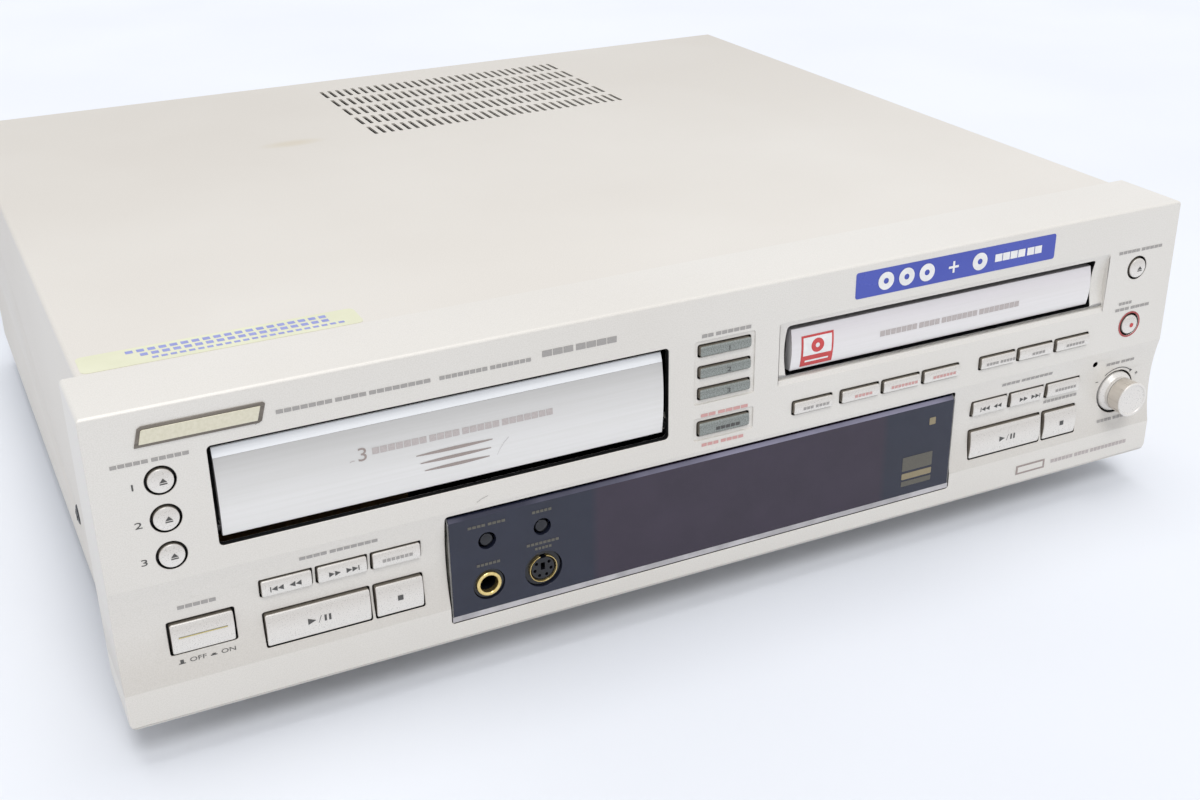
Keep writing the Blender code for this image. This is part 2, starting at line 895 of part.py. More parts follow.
def build_shaft():
    """The hub for the knob, the waist and the flange that fill the hole, and the shaft to the encoder."""
    waist = knob_waist / 2
    flange = knob_flange / 2
    profile = [
        (-knob_split - knob_hub_length + seat_gap, 0),
        (-knob_split - knob_hub_length + seat_gap, knob_hub_radius),
        (-knob_split + seat_gap, knob_hub_radius),
        (-knob_split + seat_gap, waist),
        (knob_surface - knob_flange_depth - edge_round, waist),
        (knob_surface - knob_flange_depth / 2, flange - edge_round),
        (knob_surface, flange),
        (knob_back, flange),
        (knob_back, shaft_radius),
        (shaft_end, shaft_radius),
        (shaft_end, 0),
    ]
    builder = bmesh.new()
    turned(builder, profile, at(knob_x, 0, knob_up), Vector((0, 1, 0)), knob_segments)
    shaft = finish("knob_shaft", builder, satin_aluminium, True)
    pivot(shaft, at(knob_x, knob_back, knob_up))


build_knob()
build_shaft()


# Circuit boards behind the keys, with a switch under each stem

board_margin = 0.0035
board_top_left = scoop_high + board_thickness


def switch_box(tool, x, up, height):
    low_corner = at(x - switch_width / 2, board_behind - height, up - switch_width / 2)
    high_corner = at(x + switch_width / 2, board_behind + board_thickness / 2, up + switch_width / 2)
    add_box(tool, low_corner, high_corner)


def build_board(name, outline, switches, extra=None):
    builder = bmesh.new()
    add_prism(builder, across_panel(outline, board_behind), Vector((0, board_thickness, 0)))
    board = finish(name, builder, board_tan)

    def parts(tool):
        for x, up, height in switches:
            switch_box(tool, x, up, height)

    weld(board, parts)
    if extra is not None:
        weld(board, extra)
    return board


def key_switches(names):
    found = []
    for key_name in names:
        place = keys[key_name]
        middle_x = (place["left"] + place["right"]) / 2
        middle_up = (place["low"] + place["high"]) / 2
        found.append((middle_x, middle_up, switch_height))
    return found


side_inside = panel_half - panel_wall - board_margin
board_low = scoop_low
eject_board_right = eject_x + round_hole / 2 + board_margin
left_board_right = keys["changer_stop_key"]["right"] + board_margin / 2
eject_top = eject_low + 2 * eject_pitch + round_hole / 2 + board_margin
left_board_outline = [
    (-side_inside, board_low),
    (left_board_right, board_low),
    (left_board_right, board_top_left),
    (eject_board_right, board_top_left),
    (eject_board_right, eject_top),
    (-side_inside, eject_top),
]
left_switches = key_switches([name for name in keys if name.startswith("changer")] + ["power_button"])
left_switches += [(x, up, switch_height) for name, (x, up) in round_buttons.items() if x < 0]
build_board("left_key_board", left_board_outline, left_switches)

# The right board also reaches up the middle for the select keys and up the right end for the round buttons
middle_board_left = select_key_left - board_margin / 2
middle_board_right = select_key_left + select_key_width + board_margin / 2
right_board_left = keys["recorder_back_key"]["left"] - board_margin / 2
row_top = row_key_low + row_key_height + board_margin
row_low = window_high + board_margin
select_top = changer_high
end_board_left = right_button_x - round_hole / 2 - board_margin
right_board_outline = [
    (right_board_left, board_low),
    (side_inside, board_low),
    (side_inside, select_top),
    (end_board_left, select_top),
    (end_board_left, row_top),
    (middle_board_right, row_top),
    (middle_board_right, select_top),
    (middle_board_left, select_top),
    (middle_board_left, row_low),
    (right_board_left, row_low),
]
right_names = [name for name in keys if name != "power_button" and not name.startswith("changer")]
right_switches = key_switches(right_names)
right_switches += [(x, up, switch_height) for name, (x, up) in round_buttons.items() if x > 0]


def encoder_body(tool):
    """The encoder's collar, a ring on the board with the shaft inside it."""
    ring_near = knob_back + knob_push + 2 * seat_gap
    bore = shaft_radius + shaft_clearance
    profile = [
        (ring_near, bore),
        (ring_near, encoder_radius),
        (board_behind + board_thickness / 2, encoder_radius),
        (board_behind + board_thickness / 2, bore),
        (ring_near, bore),
    ]
    turned(tool, profile, at(knob_x, 0, knob_up), Vector((0, 1, 0)), 16)
    bmesh.ops.remove_doubles(tool, verts=tool.verts, dist=merge_distance)


build_board("right_key_board", right_board_outline, right_switches, encoder_body)


# Display module: the fluorescent tube on its board, close behind the window

tube_left_margin = 0.0475
tube_right_margin = 0.0272
tube_low_margin = 0.0063
tube_high_margin = 0.0057
display_board_margin = 0.0030
tube_left = window_left + tube_left_margin
tube_right = window_right - tube_right_margin
tube_low = window_low + tube_low_margin
tube_high = window_high - tube_high_margin
display_board_left = window_left + display_board_margin
display_board_right = window_right - display_board_margin
display_board_high = window_high - display_board_margin / 2


def build_display_module():
    builder = bmesh.new()
    add_box(
        builder, at(display_board_left, board_behind, board_low),
        at(display_board_right, board_behind + board_thickness, display_board_high),
    )
    module = finish("display_module", builder, grey_plastic)

    def parts(tool):
        add_box(
            tool, at(tube_left, window_rear + seat_gap, tube_low),
            at(tube_right, board_behind + board_thickness / 2, tube_high),
        )
        for x in window_button_x:
            switch_box(tool, x, window_button_up, switch_height)

    weld(module, parts)
    return module


build_display_module()


# Sheet steel: top cover, chassis pan and rear panel

cover_top = panel_height - cover_step
cover_front = cap_depth + cover_front_gap
inside_half = cover_width / 2 - cover_sheet - seat_gap
pan_low = panel_wall + seat_gap
rear_face = body_depth - rear_inset


def build_top_cover():
    """An inverted U of sheet steel with rounded bends, cut by rows of slots."""
    half = cover_width / 2
    outer = [(-half, cover_low)]
    outer += arc(-half + cover_bend, cover_top - cover_bend, cover_bend, 180, 90, 3)
    outer += arc(half - cover_bend, cover_top - cover_bend, cover_bend, 90, 0, 3)
    outer.append((half, cover_low))
    inner_bend = cover_bend - cover_sheet
    inner_half = half - cover_sheet
    inner_top = cover_top - cover_sheet
    inner = [(inner_half, cover_low)]
    inner += arc(inner_half - inner_bend, inner_top - inner_bend, inner_bend, 0, 90, 2)
    inner += arc(-inner_half + inner_bend, inner_top - inner_bend, inner_bend, 90, 180, 2)
    inner.append((-inner_half, cover_low))
    builder = bmesh.new()
    length = body_depth - cover_front
    add_prism(builder, across_panel(outer + inner, cover_front), Vector((0, length, 0)))
    cover = finish("top_cover", builder, champagne_steel)

    def slots(tool):
        first = vent_centre_x - vent_pitch * (vent_columns - 1) / 2
        for row in range(vent_rows):
            middle = vent_first_row + row * vent_row_pitch
            for column in range(vent_columns):
                x = first + column * vent_pitch
                slot_low = at(x - vent_width / 2, middle - vent_length / 2, cover_top - cover_sheet - overrun)
                slot_high = at(x + vent_width / 2, middle + vent_length / 2, cover_top + overrun)
                add_box(tool, slot_low, slot_high)

    carve(cover, slots)
    return cover


build_top_cover()

foot_width = 0.0400
foot_taper = 0.0030
foot_inset_x = 0.0520
foot_front = 0.0560
foot_rear = 0.0480
foot_pad = 0.0020
foot_pad_inset = 0.0040
foot_pad_recess = 0.0010


def build_chassis():
    """A pan with turned-up flanges on all sides and pressed ribs along its floor."""
    half = inside_half
    far = rear_face - sheet - seat_gap
    builder = bmesh.new()
    add_box(builder, at(-half, pan_front, pan_low), at(half, far, pan_low + pan_flange))
    pan = finish("chassis_pan", builder, zinc_steel)

    def inside(tool):
        add_box(
            tool, at(-half + sheet, pan_front + sheet, pan_low + sheet),
            at(half - sheet, far - sheet, pan_low + pan_flange + overrun),
        )

    carve(pan, inside)

    def ribs(tool):
        for index in range(rib_count):
            middle = (index - (rib_count - 1) / 2) * (2 * half - 2 * rib_margin) / rib_count
            add_box(
                tool, at(middle - rib_width / 2, pan_front + rib_margin, pan_low + sheet / 2),
                at(middle + rib_width / 2, far - rib_margin, pan_low + sheet + rib_height),
            )

    weld(pan, ribs)
    return pan


build_chassis()

# Feet: round hi-fi feet with a rubber ring under a tapered body
foot_places = {
    "foot_front_left": (-1, foot_front),
    "foot_front_right": (1, foot_front),
    "foot_rear_left": (-1, body_depth - foot_rear),
    "foot_rear_right": (1, body_depth - foot_rear),
}
for name, (side, behind) in foot_places.items():
    radius = foot_width / 2
    top = pan_low - seat_gap
    bottom = -foot_height
    profile = [
        (bottom + foot_pad_recess, 0),
        (bottom + foot_pad_recess, radius - foot_taper - foot_pad_inset),
        (bottom, radius - foot_taper - foot_pad_inset + foot_pad_recess),
        (bottom, radius - foot_taper - foot_pad_recess),
        (bottom + foot_pad, radius - foot_taper),
        (top, radius),
        (top, 0),
    ]
    builder = bmesh.new()
    centre = at(side * (panel_half - foot_inset_x), behind, 0)
    turned(builder, profile, centre, Vector((0, 0, 1)), 18)
    finish(name, builder, foot_rubber, True)


# Rear connectors and the rear panel they sit in

audio_end_margin = 0.0419
audio_width = 0.0560
audio_low = 0.0500
audio_high = 0.0900
audio_left = -inside_half + audio_end_margin
audio_right = audio_left + audio_width
digital_gap = 0.0240
digital_width = 0.0580
digital_low = 0.0560
digital_high = 0.0800
digital_left = audio_right + digital_gap
digital_right = digital_left + digital_width
inlet_end_margin = 0.0259
inlet_width = 0.0280
inlet_low = 0.0260
inlet_high = 0.0480
inlet_right = inside_half - inlet_end_margin
inlet_left = inlet_right - inlet_width
connector_flange = 0.0020
connector_plate = 0.0015
connector_body = 0.0160
phono_outer = 0.0083
phono_pitch = 0.0190
phono_bore = 0.0034
phono_lip = 0.0006
optical_width = 0.0100
optical_place_shares = (0.15, 1.05)
shutter_recess = 0.0012
inlet_slot_width = 0.0164
inlet_slot_height = 0.0082
inlet_slot_depth = 0.0130
inlet_pin = 0.0024
inlet_pin_pitch = 0.0086


def connector_block(name, place_left, place_right, place_low, place_high, finish_material):
    """A plate on the outside of the rear panel with a body that passes through it."""
    builder = bmesh.new()
    add_box(
        builder, at(place_left, rear_face - sheet - connector_body, place_low),
        at(place_right, rear_face + connector_plate, place_high),
    )
    block = finish(name, builder, finish_material)

    def plate(tool):
        edge = connector_flange
        near = rear_face + seat_gap
        far = near + connector_plate
        add_box(
            tool, at(place_left - edge, near, place_low - edge),
            at(place_right + edge, far, place_high + edge),
        )

    weld(block, plate)
    return block


def phono_sockets(block, columns, rows):
    """Round sockets that stand out of a block, each with a bore for the plug's pin."""
    plate_face = rear_face + seat_gap + connector_plate
    tip = body_depth + socket_reach

    def barrels(tool):
        for x in columns:
            for up in rows:
                profile = [
                    (plate_face - connector_plate / 2, 0),
                    (plate_face - connector_plate / 2, phono_outer / 2),
                    (tip - phono_lip, phono_outer / 2),
                    (tip, phono_outer / 2 - phono_lip),
                    (tip, 0),
                ]
                turned(tool, profile, at(x, 0, up), Vector((0, 1, 0)), 12)

    def bores(tool):
        for x in columns:
            for up in rows:
                start = plate_face - connector_plate
                end = tip + overrun
                profile = [(start, 0), (start, phono_bore / 2), (end, phono_bore / 2), (end, 0)]
                turned(tool, profile, at(x, 0, up), Vector((0, 1, 0)), 8)

    weld(block, barrels)
    carve(block, bores)


audio_middle = (audio_left + audio_right) / 2
audio_up = (audio_low + audio_high) / 2
audio_block = connector_block("audio_sockets", audio_left, audio_right, audio_low, audio_high, black_plastic)
phono_sockets(
    audio_block, [audio_middle - phono_pitch / 2, audio_middle + phono_pitch / 2],
    [audio_up - phono_pitch / 2, audio_up + phono_pitch / 2],
)

digital_up = (digital_low + digital_high) / 2
digital_middle = (digital_left + digital_right) / 2
digital_block = connector_block(
    "digital_sockets", digital_left, digital_right, digital_low, digital_high, black_plastic,
)
phono_sockets(digital_block, [digital_middle - phono_pitch], [digital_up])


def optical_ports(tool):
    for share in optical_place_shares:
        x = digital_middle + phono_pitch * share
        half = optical_width / 2
        near = rear_face + connector_plate - shutter_recess
        far = body_depth + socket_reach
        add_box(tool, at(x - half, near, digital_up - half), at(x + half, far, digital_up + half))


carve(digital_block, optical_ports)

inlet = connector_block("mains_inlet", inlet_left, inlet_right, inlet_low, inlet_high, black_plastic)
inlet_middle = (inlet_left + inlet_right) / 2
inlet_up = (inlet_low + inlet_high) / 2


def inlet_slot(tool):
    """The two round lobes of the socket, with a pin left standing in each."""
    outline = rounded_outline(
        inlet_middle - inlet_slot_width / 2, inlet_middle + inlet_slot_width / 2,
        inlet_up - inlet_slot_height / 2, inlet_up + inlet_slot_height / 2,
        [inlet_slot_height / 2 - edge_round] * 4, 4,
    )
    near = rear_face + connector_plate - inlet_slot_depth
    add_prism(tool, across_panel(outline, near), Vector((0, inlet_slot_depth + overrun, 0)))


def inlet_pins(tool):
    start = rear_face - inlet_slot_depth
    for side in (-1, 1):
        profile = [(start, 0), (start, inlet_pin / 2), (rear_face, inlet_pin / 2), (rear_face, 0)]
        centre = at(inlet_middle + side * inlet_pin_pitch / 2, 0, inlet_up)
        turned(tool, profile, centre, Vector((0, 1, 0)), 8)


carve(inlet, inlet_slot)
weld(inlet, inlet_pins)


def build_rear_panel():
    builder = bmesh.new()
    add_box(
        builder, at(-inside_half, rear_face - sheet, pan_low),
        at(inside_half, rear_face, cover_top - cover_sheet - seat_gap),
    )
    rear = finish("rear_panel", builder, zinc_steel)

    def openings(tool):
        blocks = (
            (audio_left, audio_right, audio_low, audio_high),
            (digital_left, digital_right, digital_low, digital_high),
            (inlet_left, inlet_right, inlet_low, inlet_high),
        )
        for block_left, block_right, block_low, block_high in blocks:
            add_box(
                tool, at(block_left - seat_gap, rear_face - sheet - overrun, block_low - seat_gap),
                at(block_right + seat_gap, rear_face + overrun, block_high + seat_gap),
            )

    carve(rear, openings)
    return rear


build_rear_panel()


# Disc trays

disc_radius = 0.0600
disc_well_gap = 0.0010
small_disc_radius = 0.0410
well_depth = 0.0024
small_well_depth = 0.0010
tray_thickness = 0.0058
tray_front_rim = 0.0055
tray_length = 0.1400
tray_corner = 0.0060
spindle_hole = 0.0360
tray_well_segments = 24


def build_tray(name, middle_x, width, front_behind, low_up, thickness, length, rim, travel_material):
    """A flat tray with a disc well, a smaller well inside it and a slot for the drive's spindle."""
    outline = rounded_plan(middle_x - width / 2, middle_x + width / 2, front_behind, front_behind + length)
    builder = bmesh.new()
    add_prism(builder, [at(x, behind, low_up) for x, behind in outline], Vector((0, 0, thickness)))
    tray = finish(name, builder, travel_material)
    well = disc_radius + disc_well_gap
    centre = at(middle_x, front_behind + rim + well, low_up)

    def wells(tool):
        floor = thickness - well_depth
        lower_floor = floor - small_well_depth
        profile = [
            (lower_floor, 0),
            (lower_floor, small_disc_radius),
            (floor, small_disc_radius),
            (floor, well),
            (thickness + overrun, well),
            (thickness + overrun, 0),
        ]
        turned(tool, profile, centre, Vector((0, 0, 1)), tray_well_segments)

    def spindle_slot(tool):
        half = spindle_hole / 2
        start = centre.y - half
        end = centre.y + well - half
        plan = [(half, start), (half, end), (-half, end), (-half, start)]
        points = [Vector((middle_x + x, y, centre.z - overrun)) for x, y in plan]
        add_prism(tool, points, Vector((0, 0, thickness + 2 * overrun)))

    carve(tray, wells)
    carve(tray, spindle_slot)
    return tray


def rounded_plan(plan_left, plan_right, near, far):
    """A tray's outline seen from above, with its two front corners rounded."""
    points = arc(plan_left + tray_corner, near + tray_corner, tray_corner, 180, 270, 4)
    points += arc(plan_right - tray_corner, near + tray_corner, tray_corner, 270, 360, 4)
    points += [(plan_right, far), (plan_left, far)]
    return points


# Changer: three trays on ledges in one frame, behind a door hinged along its lower edge

tray_opening_gap = 0.0043
changer_tray_width = changer_right - changer_left - 2 * tray_opening_gap
tray_side_gap = 0.0004
tray_rest_behind = 0.0820
tray_pitch = 0.0102
tray_top_clearance = 0.0031
ledge_width = 0.0028
ledge_height = 0.0016
frame_wall = 0.0024
frame_deck = 0.0024
changer_frame_front = 0.0125
changer_frame_rear_gap = 0.0463
changer_foot_start = 0.0300
frame_top_margin = 0.0030
frame_skirt_flange = 0.0045

changer_frame_end = rear_face - sheet - connector_body - changer_frame_rear_gap
changer_frame_length = changer_frame_end - changer_frame_front
changer_middle = (changer_left + changer_right) / 2
top_tray_low = changer_high - tray_top_clearance - tray_thickness
changer_trays = []
for index in range(3):
    tray_name = "changer_tray_" + str(index + 1)
    tray_low = top_tray_low - index * tray_pitch
    tray = build_tray(
        tray_name, changer_middle, changer_tray_width, tray_rest_behind, tray_low,
        tray_thickness, tray_length, tray_front_rim, grey_plastic,
    )
    pivot(tray, at(changer_middle, tray_rest_behind, tray_low))
    changer_trays.append(tray_low)


def frame_profile(middle_x, tray_width, ledges, deck_up, frame_top):
    """Half of an H section: two walls with ledges on their inner faces, joined by a deck."""
    inner = tray_width / 2 + tray_side_gap
    outer = inner + frame_wall
    base = pan_low + sheet + seat_gap
    right_side = [(inner, deck_up)]
    for ledge_up in sorted(ledges):
        right_side += [
            (inner, ledge_up - ledge_height),
            (inner - ledge_width, ledge_up - ledge_height),
            (inner - ledge_width, ledge_up),
            (inner, ledge_up),
        ]
    right_side += [(inner, frame_top), (outer, frame_top)]
    right_side += [(outer, base + frame_deck), (outer + frame_skirt_flange, base + frame_deck)]
    right_side += [(outer + frame_skirt_flange, base), (inner, base), (inner, deck_up - frame_deck)]
    left_side = [(-x, up) for x, up in reversed(right_side)]
    return [(middle_x + x, up) for x, up in right_side + left_side]


changer_deck_up = changer_trays[-1] - ledge_height - 2 * seat_gap
changer_frame_top = cover_top - cover_sheet - frame_top_margin


def build_changer_frame():
    builder = bmesh.new()
    ledges = [tray_up - seat_gap for tray_up in changer_trays]
    outline = frame_profile(changer_middle, changer_tray_width, ledges, changer_deck_up, changer_frame_top)
    add_prism(builder, across_panel(outline, changer_frame_front), Vector((0, changer_frame_length, 0)))
    frame = finish("changer_frame", builder, black_plastic)

    def room_for_keys(tool):
        wide = changer_tray_width
        add_box(
            tool, at(changer_middle - wide, changer_frame_front - overrun, pan_low),
            at(changer_middle + wide, changer_foot_start, changer_deck_up - frame_deck),
        )

    carve(frame, room_for_keys)
    return frame


build_changer_frame()

# The changer's playing unit stands on the deck behind the trays
mechanism_gap = 0.0100
mechanism_depth = 0.0500
mechanism_base = 0.0060
turntable_radius = 0.0160
turntable_height = 0.0070
hub_radius = 0.0072
hub_height = 0.0030
pickup_length = 0.0240
pickup_width = 0.0320
pickup_height = 0.0060
lens_radius = 0.0040
lens_height = 0.0012
hub_tip_share = 0.75


def playing_unit(name, middle_x, spindle_behind, base_up, deck_width, near, far, pickup_side):
    """A deck with a turntable and its hub, and the optical pickup with its lens beside it."""
    builder = bmesh.new()
    add_box(
        builder, at(middle_x - deck_width / 2, near, base_up),
        at(middle_x + deck_width / 2, far, base_up + mechanism_base),
    )
    unit = finish(name, builder, grey_plastic, True)

    def turntable(tool):
        profile = [
            (mechanism_base / 2, 0),
            (mechanism_base / 2, turntable_radius),
            (mechanism_base + turntable_height, turntable_radius),
            (mechanism_base + turntable_height, hub_radius),
            (mechanism_base + turntable_height + hub_height * 2 / 3, hub_radius),
            (mechanism_base + turntable_height + hub_height, hub_radius * hub_tip_share),
            (mechanism_base + turntable_height + hub_height, 0),
        ]
        turned(tool, profile, at(middle_x, spindle_behind, base_up), Vector((0, 0, 1)), 24)

    def pickup(tool):
        start = middle_x + pickup_side * (turntable_radius + seat_gap * 4)
        end = start + pickup_side * pickup_length
        add_box(
            tool, at(min(start, end), spindle_behind - pickup_width / 2, base_up + mechanism_base / 2),
            at(max(start, end), spindle_behind + pickup_width / 2, base_up + mechanism_base + pickup_height),
        )

    def lens(tool):
        x = middle_x + pickup_side * (turntable_radius + pickup_length / 2)
        top = mechanism_base + pickup_height
        profile = [
            (top - lens_height, 0),
            (top - lens_height, lens_radius),
            (top + lens_height / 2, lens_radius),
            (top + lens_height, lens_radius / 2),
            (top + lens_height, 0),
        ]
        turned(tool, profile, at(x, spindle_behind, base_up), Vector((0, 0, 1)), 12)

    weld(unit, turntable)
    weld(unit, pickup)
    weld(unit, lens)
    return unit


changer_unit_near = tray_rest_behind + tray_length + mechanism_gap
playing_unit(
    "changer_mechanism", changer_middle, changer_unit_near + mechanism_depth / 2,
    changer_deck_up + seat_gap, changer_tray_width - 2 * ledge_width, changer_unit_near,
    changer_unit_near + mechanism_depth, 1,
)


# Changer door

def build_changer_door():
    door_left = changer_left + door_side_gap
    door_right = changer_right - door_side_gap
    door_low = changer_low + door_low_gap
    door_high = changer_high - door_top_gap
    strip_low = door_high - door_strip_height
    middle = (door_low + strip_low) / 2
    half = (strip_low - door_low) / 2
    radius = (half ** 2 + door_dish ** 2) / (2 * door_dish)
    profile = []
    for step in range(door_steps + 1):
        up = door_low + 2 * half * step / door_steps
        sink = math.sqrt(radius ** 2 - (up - middle) ** 2) - (radius - door_dish)
        profile.append((door_recess + sink, up))
    profile.append((door_recess + door_strip_slope, door_high))
    profile.append((door_recess + door_thickness + door_dish, door_high))
    profile.append((door_recess + door_thickness + door_dish, door_low))
    builder = bmesh.new()
    outline = [at(door_left, behind, up) for behind, up in profile]
    add_prism(builder, outline, Vector((door_right - door_left, 0, 0)))
    door = finish("changer_door", builder, satin_aluminium)

    def arms_and_pins(tool):
        pin = hinge_pin / 2
        back = door_recess + door_thickness + door_dish
        for side, edge in ((-1, door_left), (1, door_right)):
            near = edge
            far = edge - side * hinge_arm
            add_box(
                tool, at(min(near, far), back - edge_round, hinge_up - pin),
                at(max(near, far), hinge_behind + pin, hinge_up + pin),
            )

    def pins(tool):
        pin = hinge_pin / 2 - hinge_pin_play
        for side, edge in ((-1, door_left), (1, door_right)):
            start = at(edge - side * hinge_arm / 2, hinge_behind, hinge_up)
            length = hinge_arm / 2 + door_side_gap + seat_gap + hinge_ear
            profile_pin = [(0, 0), (0, pin), (length, pin), (length, 0)]
            turned(tool, profile_pin, start, Vector((side, 0, 0)), 12)

    weld(door, arms_and_pins)
    weld(door, pins)
    pivot(door, at(changer_middle, hinge_behind, hinge_up))
    return door


build_changer_door()


# Recorder: its tray carries its own door and runs in a second frame

recorder_tray_gap = 0.00435
recorder_tray_length = 0.1640
recorder_tray_thickness = 0.0082
recorder_door_gap = 0.0013
recorder_door_bulge = 0.0012
recorder_door_thickness = 0.0032
recorder_door_face = 0.0012
recorder_tray_drop = 0.0066
recorder_frame_front = 0.0190
recorder_frame_length = 0.1900
recorder_foot_start = 0.0300
recorder_deck_drop = 0.0260
bridge_width = 0.0240
bridge_thickness = 0.0024
clamp_radius = 0.0160
clamp_drop = 0.0040
clamp_top_share = 0.6
clamp_depth_share = 1.5
unit_near = 0.0300
unit_far = 0.0700

recorder_middle = (recorder_left + recorder_right) / 2
recorder_tray_width = recorder_right - recorder_left - 2 * recorder_tray_gap
recorder_tray_front = recorder_door_face + recorder_door_bulge + recorder_door_thickness + seat_gap
recorder_tray_low = recorder_high - recorder_door_gap - recorder_tray_drop - recorder_tray_thickness
recorder_rim = tray_front_rim
recorder_tray = build_tray(
    "recorder_tray", recorder_middle, recorder_tray_width, recorder_tray_front, recorder_tray_low,
    recorder_tray_thickness, recorder_tray_length, recorder_rim, grey_plastic,
)
pivot(recorder_tray, at(recorder_middle, recorder_tray_front, recorder_tray_low))


def build_recorder_door():
    """A slightly crowned door with a lip at each end, clipped to the front of its tray."""
    door_left = recorder_left + recorder_door_gap
    door_right = recorder_right - recorder_door_gap
    door_low = recorder_low + recorder_door_gap
    door_high = recorder_high - recorder_door_gap
    half = (door_high - door_low) / 2
    middle = (door_high + door_low) / 2
    radius = (half ** 2 + recorder_door_bulge ** 2) / (2 * recorder_door_bulge)
    profile = []
    for step in range(door_steps + 1):
        up = door_low + 2 * half * step / door_steps
        rise = math.sqrt(radius ** 2 - (up - middle) ** 2) - (radius - recorder_door_bulge)
        profile.append((recorder_door_face + recorder_door_bulge - rise, up))
    back = recorder_door_face + recorder_door_bulge + recorder_door_thickness
    profile += [(back, door_high), (back, door_low)]
    builder = bmesh.new()
    outline = [at(door_left, behind, up) for behind, up in profile]
    add_prism(builder, outline, Vector((door_right - door_left, 0, 0)))
    door = finish("recorder_door", builder, satin_aluminium)
    pivot(door, at(recorder_middle, recorder_tray_front, recorder_tray_low))
    return door


build_recorder_door()
recorder_spindle = recorder_tray_front + recorder_rim + disc_radius + disc_well_gap
recorder_deck_up = recorder_tray_low - recorder_deck_drop
recorder_frame_top = changer_frame_top


def build_recorder_frame():
    builder = bmesh.new()
    ledges = [recorder_tray_low - seat_gap]
    outline = frame_profile(
        recorder_middle, recorder_tray_width, ledges, recorder_deck_up, recorder_frame_top,
    )
    add_prism(builder, across_panel(outline, recorder_frame_front), Vector((0, recorder_frame_length, 0)))
    frame = finish("recorder_frame", builder, black_plastic)

    def room_for_keys(tool):
        wide = recorder_tray_width
        add_box(
            tool, at(recorder_middle - wide, recorder_frame_front - overrun, pan_low),
            at(recorder_middle + wide, recorder_foot_start, recorder_deck_up - frame_deck),
        )

    def bridge(tool):
        half = recorder_tray_width / 2 + tray_side_gap + frame_wall / 2
        near = recorder_spindle - bridge_width / 2
        far = recorder_spindle + bridge_width / 2
        underside = recorder_frame_top - bridge_thickness
        low_corner = at(recorder_middle - half, near, underside)
        add_box(tool, low_corner, at(recorder_middle + half, far, recorder_frame_top))

    def clamp(tool):
        top = recorder_frame_top - bridge_thickness / 2
        profile = [
            (0, 0),
            (0, clamp_radius * clamp_top_share),
            (-clamp_drop, clamp_radius),
            (-clamp_drop * clamp_depth_share, clamp_radius),
            (-clamp_drop * clamp_depth_share, 0),
        ]
        turned(tool, profile, at(recorder_middle, recorder_spindle, top), Vector((0, 0, 1)), 20)

    carve(frame, room_for_keys)
    weld(frame, bridge)
    weld(frame, clamp)
    return frame


build_recorder_frame()
playing_unit(
    "recorder_mechanism", recorder_middle, recorder_spindle, recorder_deck_up + seat_gap,
    recorder_tray_width - 2 * ledge_width, recorder_spindle - unit_near, recorder_spindle + unit_far, 1,
)


# Power transformer and main board

transformer_behind = 0.1500
core_width = 0.0380
core_depth = 0.0460
core_height = 0.0380
bobbin_width = 0.0360
bobbin_bulge = 0.0090
bobbin_height = 0.0240

changer_frame_right = changer_middle + changer_tray_width / 2 + tray_side_gap + frame_wall
recorder_frame_left = recorder_middle - recorder_tray_width / 2 - tray_side_gap - frame_wall
transformer_x = (changer_frame_right + recorder_frame_left) / 2


def build_transformer():
    base = pan_low + sheet + seat_gap
    builder = bmesh.new()
    add_box(
        builder, at(transformer_x - core_width / 2, transformer_behind - core_depth / 2, base),
        at(transformer_x + core_width / 2, transformer_behind + core_depth / 2, base + core_height),
    )
    transformer = finish("transformer", builder, winding_copper)

    def windings(tool):
        outline = rounded_outline(
            transformer_x - bobbin_width / 2, transformer_x + bobbin_width / 2,
            base + (core_height - bobbin_height) / 2, base + (core_height + bobbin_height) / 2,
            [bobbin_height / 4] * 4, 4,
        )
        start = transformer_behind - core_depth / 2 - bobbin_bulge
        length = core_depth + 2 * bobbin_bulge
        add_prism(tool, across_panel(outline, start), Vector((0, length, 0)))

    weld(transformer, windings)
    return transformer


build_transformer()

board_side_gap = 0.0252
board_end_margin = 0.0089
board_frame_gap = 0.0110
board_rear_gap = 0.0058
chip_place_shares = (0.3, 0.6)
standoff_height = 0.0060
standoff_radius = 0.0030
chip_width = 0.0240
chip_height = 0.0025
capacitor_radius = 0.0080
capacitor_height = 0.0250

main_board_left = changer_frame_right + frame_skirt_flange + board_side_gap
main_board_right = inside_half - board_end_margin
main_board_near = recorder_frame_front + recorder_frame_length + board_frame_gap
main_board_far = rear_face - sheet - connector_body - board_rear_gap


